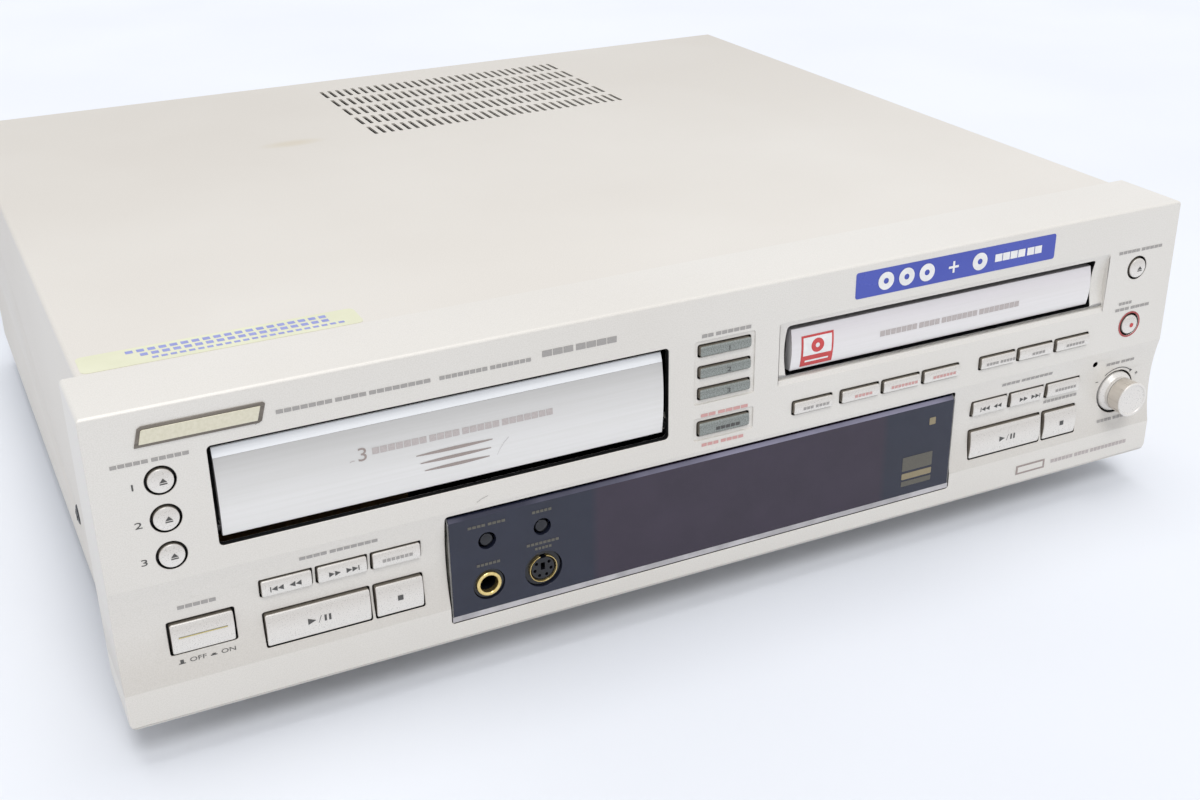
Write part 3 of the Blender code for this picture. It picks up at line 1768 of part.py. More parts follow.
def build_main_board():
    """A board on four standoffs with two processors and a row of smoothing capacitors."""
    base = pan_low + sheet + seat_gap
    level = base + standoff_height
    builder = bmesh.new()
    add_box(
        builder, at(main_board_left, main_board_near, level),
        at(main_board_right, main_board_far, level + board_thickness),
    )
    board = finish("main_board", builder, board_green)

    def standoffs(tool):
        for x in (main_board_left + 2 * standoff_radius, main_board_right - 2 * standoff_radius):
            for behind in (main_board_near + 2 * standoff_radius, main_board_far - 2 * standoff_radius):
                profile = [
                    (0, 0),
                    (0, standoff_radius),
                    (standoff_height + board_thickness / 2, standoff_radius),
                    (standoff_height + board_thickness / 2, 0),
                ]
                turned(tool, profile, at(x, behind, base), Vector((0, 0, 1)), 10)

    def parts(tool):
        middle = (main_board_near + main_board_far) / 2
        for share in chip_place_shares:
            x = main_board_left + (main_board_right - main_board_left) * share
            add_box(
                tool, at(x - chip_width / 2, middle - chip_width / 2, level + board_thickness / 2),
                at(x + chip_width / 2, middle + chip_width / 2, level + board_thickness + chip_height),
            )
        for index in range(3):
            x = main_board_left + 3 * capacitor_radius
            behind = main_board_near + capacitor_radius * (3 * index + 2)
            profile = [
                (board_thickness / 2, 0),
                (board_thickness / 2, capacitor_radius),
                (capacitor_height, capacitor_radius),
                (capacitor_height, 0),
            ]
            turned(tool, profile, at(x, behind, level), Vector((0, 0, 1)), 14)

    weld(board, standoffs)
    weld(board, parts)
    return board


build_main_board()
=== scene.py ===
import json
import math

import bmesh
import bpy
import numpy as np
from mathutils import Matrix, Vector

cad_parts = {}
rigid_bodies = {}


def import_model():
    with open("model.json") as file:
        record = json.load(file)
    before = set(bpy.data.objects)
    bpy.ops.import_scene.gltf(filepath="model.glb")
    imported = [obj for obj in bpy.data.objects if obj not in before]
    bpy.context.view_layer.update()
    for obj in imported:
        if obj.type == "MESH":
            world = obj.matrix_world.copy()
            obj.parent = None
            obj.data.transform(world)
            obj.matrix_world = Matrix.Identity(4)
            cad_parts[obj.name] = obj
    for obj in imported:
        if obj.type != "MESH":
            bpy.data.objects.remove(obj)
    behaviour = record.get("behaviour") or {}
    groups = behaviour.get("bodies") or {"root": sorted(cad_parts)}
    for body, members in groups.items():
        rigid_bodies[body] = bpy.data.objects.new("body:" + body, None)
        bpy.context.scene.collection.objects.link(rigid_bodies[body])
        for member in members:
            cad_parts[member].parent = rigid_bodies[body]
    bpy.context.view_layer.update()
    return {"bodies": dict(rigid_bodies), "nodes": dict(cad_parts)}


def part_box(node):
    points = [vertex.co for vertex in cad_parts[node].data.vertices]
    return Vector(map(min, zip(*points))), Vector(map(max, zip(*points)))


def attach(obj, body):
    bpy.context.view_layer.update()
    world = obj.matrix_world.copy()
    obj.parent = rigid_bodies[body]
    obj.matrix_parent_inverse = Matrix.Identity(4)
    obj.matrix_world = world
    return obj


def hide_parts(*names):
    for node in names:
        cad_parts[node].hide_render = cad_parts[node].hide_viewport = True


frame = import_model()

# Places are written in millimetres: across the panel, behind its face, and above its lower edge
mm = 0.001
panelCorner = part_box("front_panel")[0]
faceY = panelCorner.y
baseZ = panelCorner.z
chassis = "chassis"


def world(points):
    return np.array(points, float) * mm + (0.0, faceY, baseZ)


def placesIn(mesh):
    points = np.empty(len(mesh.vertices) * 3)
    mesh.vertices.foreach_get("co", points)
    return (points.reshape(-1, 3) - (0.0, faceY, baseZ)) / mm


def withMiddle(box):
    box["x"] = (box["left"] + box["right"]) / 2
    box["up"] = (box["low"] + box["high"]) / 2
    box["centre"] = (box["x"], 0.0, box["up"])
    return box


def cadBox(name):
    points = placesIn(frame["nodes"][name].data)
    sides = ("left", "near", "low", "right", "far", "high")
    return withMiddle(dict(zip(sides, (*points.min(0), *points.max(0)))))


# Colours and materials

def linear(text):
    parts = np.array([int(text[index:index + 2], 16) for index in (0, 2, 4)]) / 255
    straight = np.where(parts <= 0.04045, parts / 12.92, ((parts + 0.055) / 1.055) ** 2.4)
    return (*straight.tolist(), 1.0)


def setInputs(tree, node, inputs):
    # An input is a constant, a hex colour, or another node's output to link
    for name, value in inputs.items():
        if isinstance(value, bpy.types.NodeSocket):
            tree.links.new(value, node.inputs[name])
        else:
            node.inputs[name].default_value = linear(value) if isinstance(value, str) else value


def addNode(tree, kind, inputs=None, stops=(), **settings):
    # Adds a node with its settings, inputs and the stops of a ramp, and gives back its outputs
    node = tree.nodes.new(kind)
    for name, value in settings.items():
        setattr(node, name, value)
    setInputs(tree, node, inputs or {})
    if stops:
        elements = node.color_ramp.elements
        while len(elements) < len(stops):
            elements.new(0.5)
        for element, (position, colour) in zip(elements, stops):
            element.position = position
            element.color = linear(colour)
    return node.outputs


def newMaterial(name, colour, rough, metallic=0.0):
    made = bpy.data.materials.new(name)
    made.use_nodes = True
    shader = made.node_tree.nodes["Principled BSDF"]
    setInputs(made.node_tree, shader, {"Base Color": colour, "Roughness": rough, "Metallic": metallic})
    return made, made.node_tree, shader


def objectNoise(tree, scale, detail=3.0, stretch=(1.0, 1.0, 1.0)):
    # The scale is in waves to the metre, so 1000 gives a grain of about a millimetre
    place = addNode(tree, "ShaderNodeTexCoord")["Object"]
    mapped = addNode(tree, "ShaderNodeMapping", {"Vector": place, "Scale": stretch})["Vector"]
    return addNode(tree, "ShaderNodeTexNoise", {"Vector": mapped, "Scale": scale, "Detail": detail})["Fac"]


def shareAlong(tree, axis, start, end):
    # How far a point lies from start to end along an axis of the object, both in millimetres: 0 to 1
    origin = {"X": 0.0, "Y": faceY, "Z": baseZ}[axis]
    place = addNode(tree, "ShaderNodeTexCoord")["Object"]
    split = addNode(tree, "ShaderNodeSeparateXYZ", {"Vector": place})
    return addNode(tree, "ShaderNodeMapRange", {
        "Value": split[axis], "From Min": origin + start * mm, "From Max": origin + end * mm,
    })["Result"]


def tinted(tree, source, stops, colour="FFFFFF"):
    # A colour times a ramp of colours that the source runs along
    ramp = addNode(tree, "ShaderNodeValToRGB", {"Fac": source}, stops)["Color"]
    return addNode(tree, "ShaderNodeMix", {"Factor": 1.0, 6: colour, 7: ramp},
                   data_type="RGBA", blend_type="MULTIPLY")[2]


def dress(tree, shader, colour, noise, smooth, rough, bump=0.0):
    # The gloss follows the noise, and so does the height, whose depth is in metres
    gloss = addNode(tree, "ShaderNodeMapRange", {
        "Value": noise, "From Min": 0.3, "From Max": 0.7, "To Min": smooth, "To Max": rough,
    })["Result"]
    setInputs(tree, shader, {"Base Color": colour, "Roughness": gloss})
    if bump:
        relief = {"Height": noise, "Strength": 1.0, "Distance": bump}
        setInputs(tree, shader, {"Normal": addNode(tree, "ShaderNodeBump", relief)["Normal"]})


def grained(name, dark, light, rough, scale, bump=0.0, metallic=0.0, stretch=(1.0, 1.0, 1.0)):
    # A finish whose colour, gloss and height all follow one fine noise
    made, tree, shader = newMaterial(name, light, rough, metallic)
    noise = objectNoise(tree, scale, 4.0, stretch)
    colour = tinted(tree, noise, ((0.36, dark), (0.64, light)))
    dress(tree, shader, colour, noise, rough - 0.04, rough + 0.04, bump)
    return made


flakeScale = 2600.0  # flakes of 0.4 mm, coarser than real ones so that they show


def champagnePaint(name, dark, light, rough, shade):
    # Metallic flake paint: fine flakes over a slow change of tone, so the face isn't one flat colour
    made, tree, shader = newMaterial(name, light, rough, 0.12)
    setInputs(tree, shader, {"Coat Weight": 0.12, "Coat Roughness": 0.3})
    flakes = objectNoise(tree, flakeScale, 2.0)
    fine = tinted(tree, flakes, ((0.35, dark), (0.62, light)))
    toned = tinted(tree, objectNoise(tree, 7.0), ((0.35, "FAF9F8"), (0.65, "FFFFFF")), fine)
    # The shade function paints shade into the colour; on the cover it also adds an old stain
    dress(tree, shader, shade(tree, toned), flakes, rough - 0.05, rough + 0.05, 0.000012)
    return made


def scoopShade(tree, colour):
    # Painted shade: the colour is darker where the scoop's lower part leans back from the light, down to the
    # crease of the lower lip
    return tinted(tree, shareAlong(tree, "Z", 0.0, 60.0), (
        (0.0, "FDFDFD"), (0.222, "FFFFFF"), (0.226, "F0EFEE"), (0.34, "F4F3F2"), (0.56, "FFFFFF"),
    ), colour)


stain = {"x": -75.0, "behind": 254.0, "across": 60.0, "along": 160.0}


def coverShade(tree, colour):
    # An old yellowish oval mark, and painted shade that makes the sheet duller toward its back edge.
    # Across and along are one over the oval's half sizes in metres
    place = addNode(tree, "ShaderNodeTexCoord")["Object"]
    across, along = stain["across"], stain["along"]
    mapped = addNode(tree, "ShaderNodeMapping", {
        "Vector": place, "Scale": (across, along, 0.0),
        "Location": (-stain["x"] * mm * across, -(faceY + stain["behind"] * mm) * along, 0.0),
    })["Vector"]
    distance = addNode(tree, "ShaderNodeVectorMath", {0: mapped}, operation="LENGTH")["Value"]
    fade = addNode(tree, "ShaderNodeMapRange", {
        "Value": distance, "From Min": 0.3, "From Max": 1.0, "To Min": 0.35, "To Max": 0.0,
    })["Result"]
    stained = tinted(tree, fade, ((0.0, "FFFFFF"), (1.0, "E9DCB4")), colour)
    # Painted shade: the sheet darkens toward its back edge
    return tinted(tree, shareAlong(tree, "Y", 60.0, 350.0), ((0.0, "FFFFFF"), (1.0, "EEEDEB")), stained)


def keyFinish(name, stops, rough, metallic):
    # Satin paint on a crowned cap: the attribute "rise" runs from the cap's lower edge to its upper one,
    # and its ramp paints shade into the colour, darker toward the top where the face leans back
    made, tree, shader = newMaterial(name, stops[0][1], rough, metallic)
    rise = addNode(tree, "ShaderNodeAttribute", attribute_name="rise")["Fac"]
    flakes = objectNoise(tree, flakeScale, 2.0)
    colour = tinted(tree, flakes, ((0.3, "F7F6F5"), (0.7, "FFFFFF")), tinted(tree, rise, stops))
    dress(tree, shader, colour, flakes, rough - 0.04, rough + 0.04)
    return made


def doorMetal(name, low, high, stops):
    # Satin aluminium, brushed along its length: fine lines break up the highlight, and the colour of the
    # bent face is painted from light at the bottom to shade at the top
    made, tree, shader = newMaterial(name, stops[0][1], 0.34, 0.2)
    lines = objectNoise(tree, 900.0, 3.0, (0.02, 1.0, 1.0))
    shade = tinted(tree, shareAlong(tree, "Z", low, high), stops)
    brushed = tinted(tree, lines, ((0.35, "FBFBFA"), (0.65, "FFFFFF")), shade)
    dress(tree, shader, brushed, lines, 0.28, 0.4, 0.000001)
    return made


def smokedAcrylic(name, smoke, filtered, left, right):
    # Polished smoked acrylic: almost black, with a brownish filter in front of the tube and a little dust
    made, tree, shader = newMaterial(name, smoke, 0.045)
    fade = 1.5
    inside = addNode(tree, "ShaderNodeMath", {
        0: shareAlong(tree, "X", left - fade, left + fade),
        1: shareAlong(tree, "X", right + fade, right - fade),
    }, operation="MULTIPLY")[0]
    colour = addNode(tree, "ShaderNodeMix", {"Factor": inside, 6: smoke, 7: filtered}, data_type="RGBA")[2]
    dust = objectNoise(tree, 60.0, 4.0)
    dress(tree, shader, tinted(tree, dust, ((0.3, "E8E8E8"), (0.7, "FFFFFF")), colour), dust, 0.03, 0.07)
    return made


alongX = (0.02, 1.0, 1.0)
paint = champagnePaint("champagne paint on moulded plastic", "E0DCD4", "E8E4DD", 0.40, scoopShade)
coverPaint = champagnePaint("champagne powder paint on steel", "DFDAD1", "E6E1D9", 0.46, coverShade)
# The stops along "rise" paint shade: darker toward the top of each cap
keyPaint = keyFinish("satin champagne key paint", (
    (0.0, "EEEBE5"), (0.45, "E9E5DF"), (0.85, "D9D4CD"), (1.0, "DFDBD5"),
), 0.3, 0.2)
greenPaint = keyFinish("grey-green key paint", (
    (0.0, "8E938E"), (0.3, "939893"), (0.8, "888C88"), (1.0, "9AA09B"),
), 0.28, 0.3)
# Painted shade: each door's stops go darker toward its top
changerMetal = doorMetal("satin door aluminium, wide door", 60.0, 88.0, (
    (0.0, "F0EEEB"), (0.35, "EAE8E5"), (0.75, "D8D6D3"), (1.0, "C6C4C1"),
))
recorderMetal = doorMetal("satin door aluminium, narrow door", 72.4, 89.0, (
    (0.0, "F4F1EF"), (0.55, "EAE6E5"), (0.85, "E4DFE0"), (1.0, "DEDADB"),
))
# Brushed and turned aluminium: lines along the brushing stretch the highlight across them
stripMetal = grained("bright door strip", "F6F7F8", "FCFDFD", 0.22, 900.0, 0.000001, 0.1, alongX)
knobMetal = grained("satin knob metal", "E4E0DA", "E8E4DE", 0.3, 1800.0, 0.0, 0.25)
knobSide = grained("turned knob side", "CFC7BC", "D9D1C7", 0.30, 700.0, 0.000002, 0.4, (1.0, 0.05, 1.0))
badgeMetal = grained("taupe metal badge", "6F685F", "837B71", 0.3, 900.0, 0.000002, 0.4, (0.03, 1.0, 1.0))
badgeFace = grained("cream badge face", "DCD6BE", "E4DEC8", 0.32, 900.0, 0.000001, 0.2)
# Polished acrylic with sharp reflections; the bevel's pale streaks along its length are painted glints, the
# lower clear edge is pale grey, and the side walls are a darker grey as painted shade
smoked = smokedAcrylic("smoked acrylic", "262A3B", "352B3C", -47.0, 75.0)
bevelGlints = grained("polished bevel of the window", "2C2D40", "8C899E", 0.06, 16.0, stretch=(1.0, 0.2, 0.2))
clearEdge = grained("polished clear acrylic edge", "A9A6A8", "C6C3C5", 0.1, 120.0, 0.000001)
windowSideShade = grained("side wall of the smoked acrylic", "4A4A46", "6E6D66", 0.12, 200.0, 0.000001)
# Platings: zinc is pale and half dull, with slow clouds; gold and nickel are bright and even
gold = grained("gold plate", "DCC27E", "EFD898", 0.24, 600.0, 0.000001, 0.9)
zinc = grained("zinc-plated steel", "B3B5B6", "BFC1C2", 0.36, 90.0, 0.000004, 0.8)
screwMetal = grained("black zinc screw", "2A2B2D", "3C3D40", 0.35, 900.0, 0.000004, 0.8)
nickel = grained("nickel-plated socket", "B9B7B0", "CFCDC6", 0.22, 800.0, 0.000003, 1.0)
# Moulded plastic: spark texture scatters the light evenly, and the polished buttons show one small highlight
blackPlastic = grained("black moulding", "0D0D0E", "151516", 0.45, 1500.0, 0.00001)
softBlack = grained("black window button", "121318", "1A1C23", 0.16, 900.0, 0.000002)
trayPlastic = grained("spark-textured tray moulding", "1C1D1F", "2A2B2E", 0.5, 2200.0, 0.00002)
drivePlastic = grained("dark grey drive moulding", "232427", "2F3034", 0.48, 1300.0, 0.00002)
# Painted shade: the key's side walls are a darker taupe than their paint
keySideShade = grained("bare moulding of the key's sides", "6E675D", "7A7368", 0.45, 900.0, 0.000006)
rubber = grained("foot moulding and rubber ring", "141414", "202020", 0.7, 900.0, 0.00002)
whiteRing = grained("white socket insulator", "D8D8D4", "E8E8E4", 0.4, 900.0, 0.000005)
redRing = grained("red socket insulator", "A51E1C", "BC2A26", 0.4, 900.0, 0.000005)
# Boards and winding: half dull, with the colour of their lacquer or tape
tanBoard = grained("paper-phenolic board", "5E4626", "6E5431", 0.55, 700.0, 0.00001)
greenBoard = grained("solder-masked board", "1D5A37", "266B43", 0.38, 500.0, 0.00001)
displayBoard = grained("display board and tube", "16201E", "22302C", 0.3, 500.0, 0.00001)
copper = grained("taped transformer winding", "6E4326", "8A5731", 0.5, 300.0, 0.00003, 0.2, (1.0, 1.0, 8.0))
# Screen-printed ink: thin, matt and nearly even
darkPrint = grained("dark grey print", "4A4947", "565553", 0.55, 2500.0, 0.000001)
greyPrint = grained("soft grey print", "A19D99", "ACA8A4", 0.55, 2500.0, 0.000001)
softPrint = grained("taupe print", "9C8F89", "A89B95", 0.5, 2500.0, 0.000001)
paleText = grained("pale taupe print", "B9B0AD", "C4BBB8", 0.5, 2500.0, 0.000001)
redPrint = grained("soft red print", "CF9C97", "D9A7A2", 0.5, 2500.0, 0.000001)
dimPrint = grained("dim gold print on the window", "5A574E", "646157", 0.5, 2500.0, 0.000001)
paleGold = grained("dull gold print on the window", "8C8064", "988B6E", 0.5, 2500.0, 0.000001)
goldPrint = grained("gold line print", "C9B978", "DACA88", 0.35, 2500.0, 0.000001, 0.3)
redGlow = grained("red ring round the record button", "A3403F", "B85553", 0.35, 900.0, 0.000001)
# Printed film and paper labels: smooth, the blue one glossy
blueLabel = grained("glossy blue label", "4452B0", "4A58B6", 0.25, 40.0, 0.000001)
yellowLabel = grained("pale yellow label", "DEDEC0", "E4E4C8", 0.5, 60.0, 0.000001)
labelBlue = grained("blue print on the label", "8C93CF", "989FD8", 0.5, 300.0, 0.000001)
whiteLabel = grained("white label", "E9E8E6", "F3F2F0", 0.4, 300.0, 0.000001)
redLabel = grained("red label", "C8403F", "D14A4A", 0.4, 300.0, 0.000001)
print("materials ready")


# Shapes: points and faces are gathered, then made into a piece

def newShape():
    return {"points": [], "faces": [], "tags": []}


def addLoft(shape, rings, capStart=True, capEnd=True, tag=0):
    # Neighbouring closed rings of equal length are joined by quads, and each end ring is closed by one face
    size = len(rings[0])
    start = len(shape["points"])
    shape["points"] += np.reshape(rings, (-1, 3)).tolist()
    grid = start + np.arange(len(rings) * size).reshape(-1, size)
    onward = np.roll(grid, -1, 1)
    faces = np.stack([grid[:-1], onward[:-1], onward[1:], grid[1:]], 2).reshape(-1, 4).tolist()
    if capStart:
        faces.append(grid[0].tolist())
    if capEnd:
        faces.append(grid[-1][::-1].tolist())
    shape["faces"] += faces
    shape["tags"] += [tag] * len(faces)
    return shape


def addPrism(shape, outline, axis, start, end, tag=0):
    # A flat outline, given in the two other directions, carried along one axis
    rings = [np.insert(np.array(outline, float), "xyz".index(axis), level, 1) for level in (start, end)]
    return addLoft(shape, rings, tag=tag)


def addBox(shape, low, high, tag=0):
    plan = [(low[0], low[1]), (high[0], low[1]), (high[0], high[1]), (low[0], high[1])]
    return addPrism(shape, plan, "z", low[2], high[2], tag)


def addTurned(shape, profile, centre, axis="y", segments=64, tags=(0,), closed=False):
    # A profile of (distance along the axis, radius) turned about the axis: across it, each point lies at the
    # radius times the cosine and sine of the angle. A closed profile has its ends joined instead of capped
    profile = np.array(profile, float)
    angles = np.linspace(0, math.tau, segments, endpoint=False)
    rings = profile[:, 1, None, None] * np.stack([np.cos(angles), np.sin(angles)], 1)
    rings = np.insert(rings, "xyz".index(axis), profile[:, :1], 2) + centre
    if closed:
        return addLoft(shape, np.concatenate([rings, rings[:1]]), False, False, tags[0])
    if len(tags) == 1:
        return addLoft(shape, rings, tag=tags[0])
    for index, tag in enumerate(tags):
        addLoft(shape, rings[index:index + 2], index == 0, index == len(tags) - 1, tag)
    return shape


def arcPoints(centre, radius, start, end, steps):
    # Each point is the centre plus the radius times the cosine and sine of an angle in degrees
    angles = np.radians(np.linspace(start, end, steps + 1))
    return np.stack([centre[0] + radius * np.cos(angles), centre[1] + radius * np.sin(angles)], 1).tolist()


def arcRadius(half, deep):
    # The radius of an arc from half its chord and its depth
    return (half ** 2 + deep ** 2) / (2 * deep)


def quarterRound(near, radius, deep, wide, steps):
    # From a face to its side: the depth grows with one minus the cosine, the radius with the sine
    angles = np.linspace(0, math.pi / 2, steps + 1)
    return np.stack([near + deep * (1 - np.cos(angles)), radius + wide * np.sin(angles)], 1).tolist()


def roundedRing(left, right, low, high, radius, corner=6, side=0):
    # A rectangle with round corners; side adds points along the upright sides for a face that is crowned
    radius = max(radius, 0.01)
    levels = np.linspace(low + radius, high - radius, side + 2)[1:-1]
    points = arcPoints((left + radius, low + radius), radius, 180, 270, corner)
    points += arcPoints((right - radius, low + radius), radius, 270, 360, corner)
    points += [(right, up) for up in levels]
    points += arcPoints((right - radius, high - radius), radius, 0, 90, corner)
    points += arcPoints((left + radius, high - radius), radius, 90, 180, corner)
    return points + [(left, up) for up in levels[::-1]]


def edgesOf(place):
    return place["left"], place["right"], place["low"], place["high"]


def around(x, up, across, tall):
    return x - across, x + across, up - tall, up + tall


def crowned(up, low, high):
    # 0 at half height and 1 at both edges, by the square of the distance
    share = (up - (high + low) / 2) / ((high - low) / 2)
    return np.minimum(share ** 2, 1.0)


def addToScene(name, mesh):
    made = bpy.data.objects.new(name, mesh)
    bpy.context.scene.collection.objects.link(made)
    return made


def looseObject(name, shape, materials):
    mesh = bpy.data.meshes.new(name)
    mesh.from_pydata(world(shape["points"]).tolist(), [], shape["faces"])
    for material in materials:
        mesh.materials.append(material)
    if len(materials) > 1:
        mesh.polygons.foreach_set("material_index", shape["tags"])
    work = bmesh.new()
    work.from_mesh(mesh)
    bmesh.ops.remove_doubles(work, verts=work.verts, dist=0.000001)
    bmesh.ops.recalc_face_normals(work, faces=work.faces)
    work.to_mesh(mesh)
    work.free()
    return addToScene(name, mesh)


def carve(target, shape, operation="DIFFERENCE", bare=False):
    # With bare, the cut walls take the target's second material, black moulding: unpainted inside, and in the
    # openings it darkens the gaps as painted shade
    if bare:
        shape["tags"] = [1] * len(shape["faces"])
    tool = looseObject("tool", shape, list(target.data.materials))
    modifier = target.modifiers.new("cut", "BOOLEAN")
    modifier.operation = operation
    modifier.solver = "EXACT"
    modifier.object = tool
    result = bpy.data.meshes.new_from_object(target.evaluated_get(bpy.context.evaluated_depsgraph_get()))
    target.modifiers.clear()
    target.data = result
    bpy.data.objects.remove(tool, do_unlink=True)


def finishPiece(piece, body, stands=None, sharp=30.0, edge=0.0):
    piece.data.shade_smooth()
    piece.data.set_sharp_from_angle(angle=math.radians(sharp))
    if edge:
        bevel = piece.modifiers.new("soft edges", "BEVEL")
        bevel.width = edge * mm
        bevel.segments = 2
        bevel.limit_method = "ANGLE"
        bevel.angle_limit = math.radians(40)
        bevel.use_clamp_overlap = False
        bevel.harden_normals = True
        bevel.material = 0
    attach(piece, body)
    if stands:
        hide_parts(stands)


def makePiece(name, shape, materials, body, stands=None, sharp=30.0, edge=0.0):
    finishPiece(looseObject(name, shape, materials), body, stands, sharp, edge)


# Front panel: the moulding with its scooped band, openings and pockets

panel = {
    "left": -210.0, "right": 210.0, "height": 109.3, "depth": 31.8, "wall": 2.8, "rimDepth": 4.0,
    "edge": 0.28, "edgeRadius": 1.2, "lowCorner": 3.3, "highCorner": 1.4, "over": 2.0,
    "scoopLow": 13.5, "scoopHigh": 50.5, "scoopDeep": 2.4, "scoopSteps": 48,
}
openings = {
    "changer": (-174.8, -18.2, 58.3, 92.7, 1.5),
    "recorder": (29.8, 170.5, 71.2, 91.0, 1.4),
    "window": (-101.5, 107.2, 7.2, 48.7, 1.2),
}
surround = {"left": 26.0, "right": 176.5, "low": 68.7, "high": 93.0, "deep": 2.6}
keyPocket = {"margin": 1.8, "deep": 0.6, "corner": 0.8}
holes = {"key": 0.4, "eject": 9.6, "knob": 18.7, "sensor": 2.4, "sensorCentre": (177.7, 0.0, 45.2)}
hinge = {"behind": 4.5, "up": 62.6, "bore": 1.75, "pin": 1.4,
         "bossLow": 59.6, "bossHigh": 65.6, "bossBack": 7.2}
flange = {"side": 0.7, "low": 1.1}
coverSheet = 0.9
scoopMiddle = (panel["scoopLow"] + panel["scoopHigh"]) / 2
scoopHalf = (panel["scoopHigh"] - panel["scoopLow"]) / 2
scoopRadius = arcRadius(scoopHalf, panel["scoopDeep"])

keyNames = [name for name in frame["nodes"] if name.endswith("_key") or name == "power_button"]
greenKeys = ["disc_1_key", "disc_2_key", "disc_3_key", "copy_start_key"]
roundNames = ["eject_1_button", "eject_2_button", "eject_3_button", "recorder_eject_button", "record_button"]
windowButtons = ["play_mode_button", "input_button"]


def scoopFace(x, up):
    # How far the face lies behind its front plane: a circular arc between the two edges of the scoop
    offset = np.clip(up - scoopMiddle, -scoopHalf, scoopHalf)
    return np.sqrt(scoopRadius ** 2 - offset ** 2) - (scoopRadius - panel["scoopDeep"])


def keyPlace(name, inset=0.0, lowInset=0.0):
    # The edges of a key's cap inside its flange, moved in by an inset
    box = cadBox(name)
    box["left"] += flange["side"] + inset
    box["right"] -= flange["side"] + inset
    box["low"] += flange["low"] + lowInset
    box["high"] -= flange["low"] + inset
    return withMiddle(box)


def roundPlace(name):
    box = cadBox(name)
    box["radius"] = (box["right"] - box["left"]) / 2 - flange["low"]
    return box


def buildPanel():
    left, right = panel["left"], panel["right"]
    height, depth = panel["height"], panel["depth"]
    wall, over = panel["wall"], panel["over"]
    edge = panel["edgeRadius"]
    heights = np.linspace(panel["scoopLow"], panel["scoopHigh"], panel["scoopSteps"] + 1)
    scoop = np.stack([scoopFace(0, heights), heights], 1)
    profile = [(depth, 0.0)] + arcPoints((edge, edge), edge, 270, 180, 9) + scoop.tolist()
    profile += arcPoints((edge, height - edge), edge, 180, 90, 9) + [(depth, height)]
    shape = addPrism(newShape(), profile, "x", left, right)
    body = looseObject("front_moulding", shape, [paint, blackPlastic])
    low, high = panel["lowCorner"], panel["highCorner"]
    ends = arcPoints((left + low, low), low, 180, 270, 10) + arcPoints((right - low, low), low, 270, 360, 10)
    ends += arcPoints((right - high, height - high), high, 0, 90, 9)
    ends += arcPoints((left + high, height - high), high, 90, 180, 9)
    carve(body, addPrism(newShape(), ends, "y", -over, depth + over), "INTERSECT")

    back = depth - panel["rimDepth"]
    inside = [(back, wall), (wall, wall)] + (scoop + (wall, 0)).tolist()
    inside += [(wall, height - wall), (back, height - wall)]
    carve(body, addPrism(newShape(), inside, "x", left + wall, right - wall), bare=True)
    half = cadBox("top_cover")["right"] - coverSheet
    mouth = addBox(newShape(), (-half, back - over, wall), (half, depth + over, height - wall))
    carve(body, mouth, bare=True)

    # Bosses for the door's pins end a little inside the opening, which then cuts them flush
    bosses = newShape()
    doorLeft, doorRight = openings["changer"][:2]
    for start, end in ((doorLeft - 2.5, doorLeft + 1.0), (doorRight - 1.0, doorRight + 2.5)):
        addBox(bosses, (start, wall - 2.0, hinge["bossLow"]), (end, hinge["bossBack"], hinge["bossHigh"]))
    addBox(bosses, (surround["left"] - wall, wall - 1.0, surround["low"] - wall),
           (surround["right"] + wall, surround["deep"] + wall, surround["high"] + wall))
    carve(body, bosses, "UNION")

    half = (surround["high"] - surround["low"]) / 2
    radius = arcRadius(half, surround["deep"])
    swing = math.degrees(math.asin((half + 0.2) / radius))
    curve = arcPoints((surround["deep"] - radius, surround["low"] + half), radius, -swing, swing, 28)
    curve = [(-over, curve[0][1])] + curve + [(-over, curve[-1][1])]
    pockets = addPrism(newShape(), curve, "x", surround["left"], surround["right"])
    for names in (greenKeys[:3], greenKeys[3:]):
        margin = keyPocket["margin"]
        lefts, rights, lows, highs = zip(*(edgesOf(keyPlace(name, -margin, -margin)) for name in names))
        ring = roundedRing(min(lefts), max(rights), min(lows), max(highs), keyPocket["corner"])
        addPrism(pockets, ring, "y", -over, keyPocket["deep"])
    carve(body, pockets)

    through = newShape()
    reach = surround["deep"] + wall + over
    for edges in openings.values():
        addPrism(through, roundedRing(*edges, 9), "y", -over, reach)
    for name in keyNames:
        ring = roundedRing(*edgesOf(keyPlace(name, -holes["key"], -holes["key"])), 0.8, 8)
        addPrism(through, ring, "y", -over, reach)
    rounds = [(roundPlace(name)["centre"], holes["eject"], 64) for name in roundNames]
    rounds.append((cadBox("level_knob")["centre"], holes["knob"], 96))
    rounds.append((holes["sensorCentre"], holes["sensor"], 40))
    for centre, width, segments in rounds:
        addTurned(through, [(-over, width / 2), (reach + over, width / 2)], centre, segments=segments)
    carve(body, through, bare=True)
    pins = newShape()
    for start in (doorLeft - 4.5, doorRight - 2.0):
        centre = (start, hinge["behind"], hinge["up"])
        addTurned(pins, [(0.0, hinge["bore"]), (6.5, hinge["bore"])], centre, "x", 32)
    carve(body, pins, bare=True)
    finishPiece(body, chassis, "front_panel", 12.0, panel["edge"])


buildPanel()
print("front panel ready")


# Keys: crowned caps with a rounded edge, a flange behind the panel and a stem

keyCap = {"corner": 0.7, "edge": 0.4, "edgeSteps": 5, "crown": 0.65, "fullCrown": 4.0, "inset": 0.12,
          "powerInset": 0.4, "stemCorner": 0.3, "shares": (0.1, 0.3, 0.5, 0.68, 0.82, 0.92)}


def capPlace(name):
    # The painted cap is a little smaller than its CAD solid, which leaves the dark gap round it
    inset = keyCap["powerInset"] if name == "power_button" else keyCap["inset"]
    return keyPlace(name, inset, keyCap["inset"])


